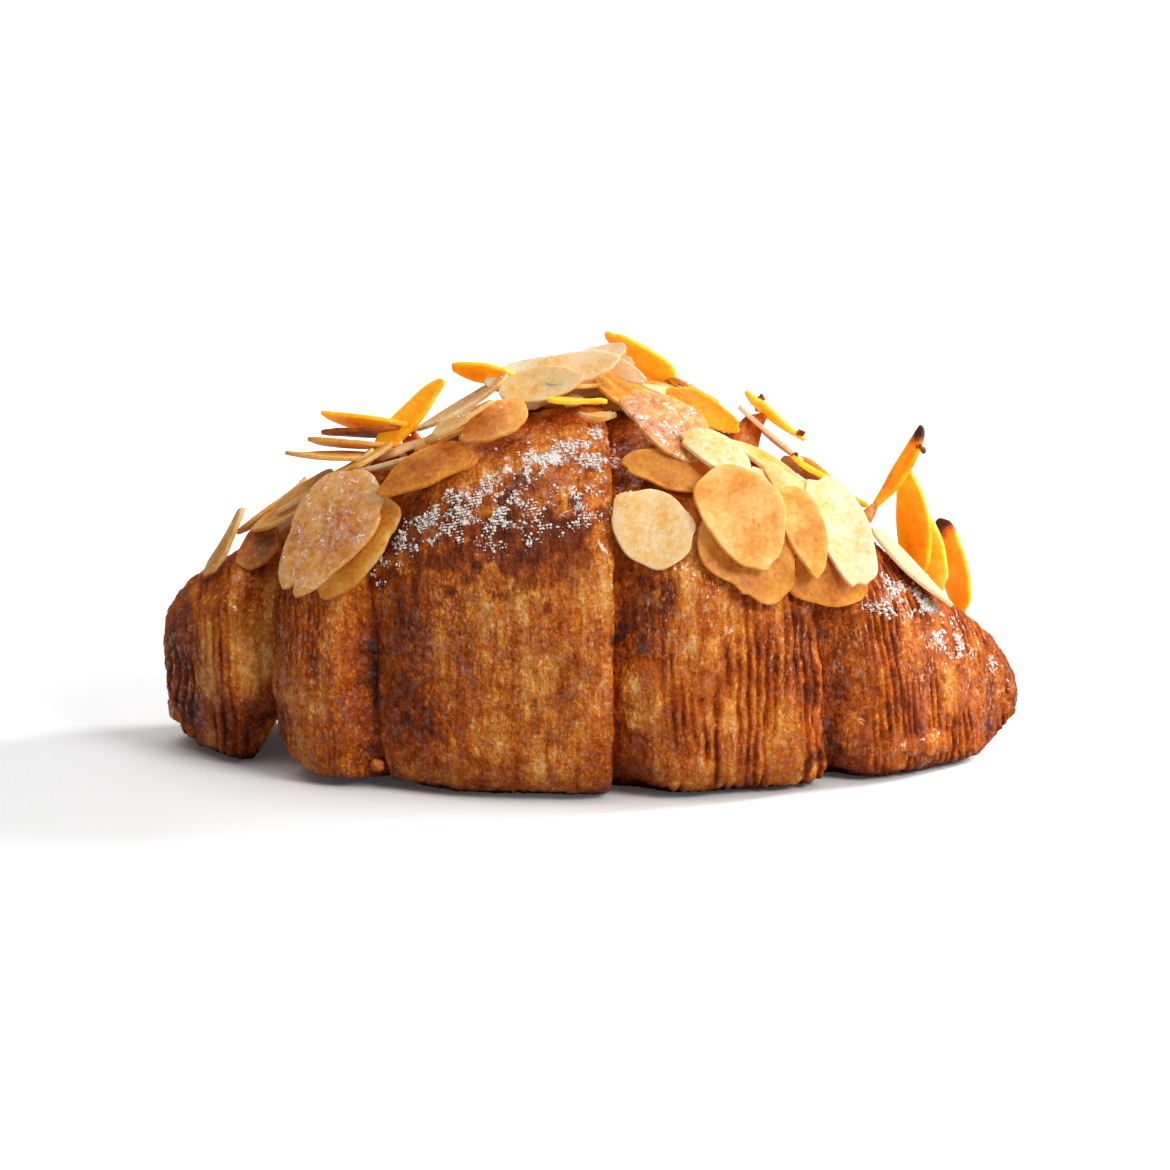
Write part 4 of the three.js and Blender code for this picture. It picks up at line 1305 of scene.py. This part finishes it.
def new_material(name):
    material = bpy.data.materials.new(name)
    material.use_nodes = True
    return material, material.node_tree, material.node_tree.nodes["Principled BSDF"]


def attribute(tree, name):
    return add_node(tree, "ShaderNodeAttribute", attribute_name=name).outputs["Fac"]


def bumped(tree, height, strength, distance):
    values = {"Height": height, "Strength": strength, "Distance": distance * MM}
    return add_node(tree, "ShaderNodeBump", values).outputs["Normal"]


def crust_material():
    material, tree, shader = new_material("baked_crust")
    crest, scorch_and_shade, strand = (attribute(tree, name) for name in ("crest", "scorch_and_shade", "strand"))
    # Painted shade: the grooves between strands are coloured darker.
    groove_shade = calc(tree, "SUBTRACT", CRUST["crest"], crest)
    level = change(tree, CRUST["level"], "ADD", groove_shade, CRUST["groove_shade"])
    level = calc(tree, "ADD", level, attribute(tree, "bake_and_shade"))
    level = change(tree, level, "ADD", scorch_and_shade, CRUST["scorch_and_shade"])
    level = change(tree, level, "SUBTRACT", attribute(tree, "pale"), CRUST["pale"])
    brown = use_group(tree, browning, {
        "Level": level, "Blotch": CRUST["blotch"], "Grain": spread(tree, strand, 0, 1, *GRAIN_BY_STRAND),
        "Streak": spread(tree, strand, 0, 1, *STREAK_BY_STRAND)})
    scorched = calc(tree, "MULTIPLY", scorch_and_shade, CRUST["scorch_tint"])
    colour = mix_colours(tree, scorched, brown["Color"], SCORCH_BROWN)
    # Painted highlights: pale glints mixed into the colour on the glint spots.
    glint = spread(tree, noise(tree, 1900, 2, 0.6, stretch=0.45), 0.57, 0.68)
    glint = calc(tree, "MULTIPLY", glint, calc(tree, "MULTIPLY", attribute(tree, "painted_glints"), CRUST["glint"]))
    colour = mix_colours(tree, glint, colour, PAINTED_GLINT)
    dust = use_group(tree, sugar_dust, {"Amount": attribute(tree, "sugar")})["Mask"]
    wet = calc(tree, "MULTIPLY", spread(tree, crest, 0.75, 0.95), spread(tree, noise(tree, 700), 0.48, 0.62))
    wet = calc(tree, "SUBTRACT", wet, dust, clamp=True)
    feed(tree, shader, {
        "Base Color": mix_colours(tree, dust, colour, SUGAR_WHITE),
        "Roughness": spread(tree, wet, 0, 0.7, *DULL_TO_WET),
        "Specular IOR Level": CRUST["specular"],
        "Coat Weight": wet,
        "Coat Roughness": CRUST["coat_roughness"],
        "Normal": bumped(tree, brown["Height"], strength=0.9, distance=0.6),
    })
    return material


crust = crust_material()
for piece in wraps + [crumb_pile]:
    piece.data.materials.append(crust)
print("crust on", len(wraps), "wraps and the crumbs")

# %% [markdown]
# ## Toasted almonds
# A slice is cream to golden, in patches and grains, and toasts to brown. Thin almond lets light through,
# so the shader scatters light below the surface. Every slice has a faint painted glow in its own colour.
# Slices with the light behind them scatter more, and get a deeper painted yellow and a stronger painted
# glow, which stand for the light that comes through.

# %% Almonds
DARK_TOAST = [(0.85, shade(134, 68, 24)), (1.0, shade(60, 30, 18))]
TOAST = [
    (0.0, shade(238, 214, 176)), (0.25, shade(236, 188, 106)),
    (0.45, shade(226, 150, 46)), (0.65, shade(194, 106, 26)),
]
# Painted light: deeper yellows for slices with the light behind them.
BACKLIT_GLOW_COLOURS = [
    (0.0, shade(250, 210, 96)), (0.25, shade(246, 184, 40)),
    (0.45, shade(240, 162, 8)), (0.65, shade(210, 120, 6)),
]
ALMOND = {"rim": 0.08, "patch": 0.8, "grain": 0.45, "speck": 0.12, "burnt": 0.9, "frost": 0.35, "dust": 0.7,
          "specular": 0.3}


def almond_material(name, stops, scattered, radius, scale, glow):
    material, tree, shader = new_material(name)
    sugared = attribute(tree, "sugar")
    grain = swing(tree, 1200, 3, 0.65)
    rim = spread(tree, attribute(tree, "rim"), 0.74, 0.98)
    speck = spread(tree, noise(tree, 800, 2, 0.6), 0.6, 0.74)
    toast = change(tree, attribute(tree, "toast"), "SUBTRACT", rim, ALMOND["rim"])
    toast = change(tree, toast, "ADD", swing(tree, 190, 4, 0.6), ALMOND["patch"])
    toast = change(tree, toast, "ADD", grain, ALMOND["grain"])
    toast = change(tree, toast, "ADD", speck, ALMOND["speck"])
    toast = change(tree, toast, "ADD", attribute(tree, "burnt"), ALMOND["burnt"], clamp=True)
    haze = spread(tree, noise(tree, 1000, 3, 0.7), 0.4, 0.68, 0.0, ALMOND["frost"])
    colour = mix_colours(tree, calc(tree, "MULTIPLY", sugared, haze), ramp(tree, toast, stops), SUGAR_WHITE)
    amount = calc(tree, "MULTIPLY", sugared, ALMOND["dust"])
    dust = use_group(tree, sugar_dust, {"Amount": amount})["Mask"]
    feed(tree, shader, {
        "Base Color": mix_colours(tree, dust, colour, SUGAR_WHITE),
        "Roughness": spread(tree, grain, -0.3, 0.3, 0.4, 0.6),
        # Painted glow: the slice's own colour, glowing.
        "Emission Color": colour,
        "Emission Strength": glow,
        "Subsurface Weight": scattered,
        "Subsurface Radius": radius,
        "Subsurface Scale": scale * MM,
        "Specular IOR Level": ALMOND["specular"],
        "Normal": bumped(tree, grain, strength=0.3, distance=0.2),
    })
    return material


# Every slice has a faint painted glow; slices with the light behind them a deeper painted yellow and a
# stronger glow.
toasted_almond = almond_material(
    "toasted_almond", TOAST + DARK_TOAST, scattered=0.65, radius=(1.0, 0.55, 0.1), scale=1.4, glow=0.05)
sheer_almond = almond_material(
    "sheer_almond", BACKLIT_GLOW_COLOURS + DARK_TOAST, scattered=1.0, radius=(1.0, 0.6, 0.06), scale=2.6, glow=0.3)
almonds.data.materials.append(toasted_almond)
almonds.data.materials.append(sheer_almond)
sheer = np.empty(len(almonds.data.vertices), np.float32)
almonds.data.attributes["sheer"].data.foreach_get("value", sheer)
finishes = [int(sheer[face.vertices[0]]) for face in almonds.data.polygons]
almonds.data.polygons.foreach_set("material_index", finishes)
print("almond finishes:", [material.name for material in almonds.data.materials])

# %% [markdown]
# ## Browned cream and icing sugar
# Cream browns as dough does, without strands, so it takes the browning group with its own values. Sugar
# is a plain dull white, a little warmer in some grains than in others.

# %% Cream and sugar
CREAM_BROWNING = {"Level": 0.34, "Blotch": 0.6, "Grain": 0.4, "Streak": 0.0}
WARM_WHITE = shade(236, 226, 212)


def cream_material():
    material, tree, shader = new_material("browned_cream")
    brown = use_group(tree, browning, CREAM_BROWNING)
    normal = bumped(tree, brown["Height"], strength=0.5, distance=0.4)
    feed(tree, shader, {"Base Color": brown["Color"], "Roughness": 0.55, "Normal": normal})
    return material


def sugar_material():
    material, tree, shader = new_material("icing_sugar")
    tint = mix_colours(tree, noise(tree, 900), SUGAR_WHITE, WARM_WHITE)
    feed(tree, shader, {"Base Color": tint, "Roughness": 0.7})
    return material


cream.data.materials.append(cream_material())
sugar.data.materials.append(sugar_material())
print("materials:", [material.name for material in bpy.data.materials])

# %% [markdown]
# ## Floor
# The croissant stands on a plain pale round table. Past its edge the white horizon of the room shows, so
# no line is seen. The table looks white to the camera, but throws back less light than it shows, so that
# the near wall of the loaf keeps its shape. Far off, a weak glow lifts it to plain white. In front on the
# right the same glow is painted light over the loaf's shadow, which washes that shadow out.

# %% Floor
FLOOR = {"radius": 0.6, "corners": 96, "grey": 0.5, "pale": 0.95, "roughness": 0.9, "specular": 0.1}
# The front glow is painted light over the loaf's shadow on the table.
FLOOR_GLOW = {"least": 0.03, "far": 0.4, "far_band": (0.13, 0.3), "front": 0.3, "front_band": (-0.02, -0.05),
              "right_band": (-0.07, -0.02)}


def grey(level):
    return (level, level, level, 1)


def floor_material():
    material, tree, shader = new_material("pale_table")
    seen = add_node(tree, "ShaderNodeLightPath").outputs["Is Camera Ray"]
    place = add_node(tree, "ShaderNodeTexCoord").outputs["Object"]
    away = add_node(tree, "ShaderNodeVectorMath", {0: place}, operation="LENGTH").outputs["Value"]
    axes = add_node(tree, "ShaderNodeSeparateXYZ", {"Vector": place}).outputs
    front = spread(tree, axes["Y"], *FLOOR_GLOW["front_band"])
    front = calc(tree, "MULTIPLY", front, spread(tree, axes["X"], *FLOOR_GLOW["right_band"]))
    far = spread(tree, away, *FLOOR_GLOW["far_band"], 0.0, FLOOR_GLOW["far"])
    lit = calc(tree, "MAXIMUM", far, calc(tree, "MULTIPLY", front, FLOOR_GLOW["front"]))
    feed(tree, shader, {
        "Base Color": mix_colours(tree, seen, grey(FLOOR["grey"]), grey(FLOOR["pale"])),
        "Emission Color": WHITE,
        "Emission Strength": calc(tree, "MULTIPLY", seen, calc(tree, "ADD", FLOOR_GLOW["least"], lit)),
        "Roughness": FLOOR["roughness"],
        "Specular IOR Level": FLOOR["specular"],
    })
    return material


bpy.ops.object.select_all(action="DESELECT")
bpy.ops.mesh.primitive_circle_add(vertices=FLOOR["corners"], radius=FLOOR["radius"], fill_type="NGON")
floor = bpy.context.object
floor.name = "floor"
floor.data.materials.append(floor_material())
print("floor:", FLOOR["radius"] / MM, "mm in radius")

# %% [markdown]
# ## Hand over to the frame
# Every piece rides on the one body, and together they stand for the solid, which stays for collisions.

# %% Ride on the body and hide the solid
slots = [(piece, "crust") for piece in wraps + [crumb_pile]]
slots += [(almonds, "almond"), (cream, "almond"), (sugar, "sugar")]
for piece, slot in slots:
    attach(piece, "root")
    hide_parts("almond_croissant")
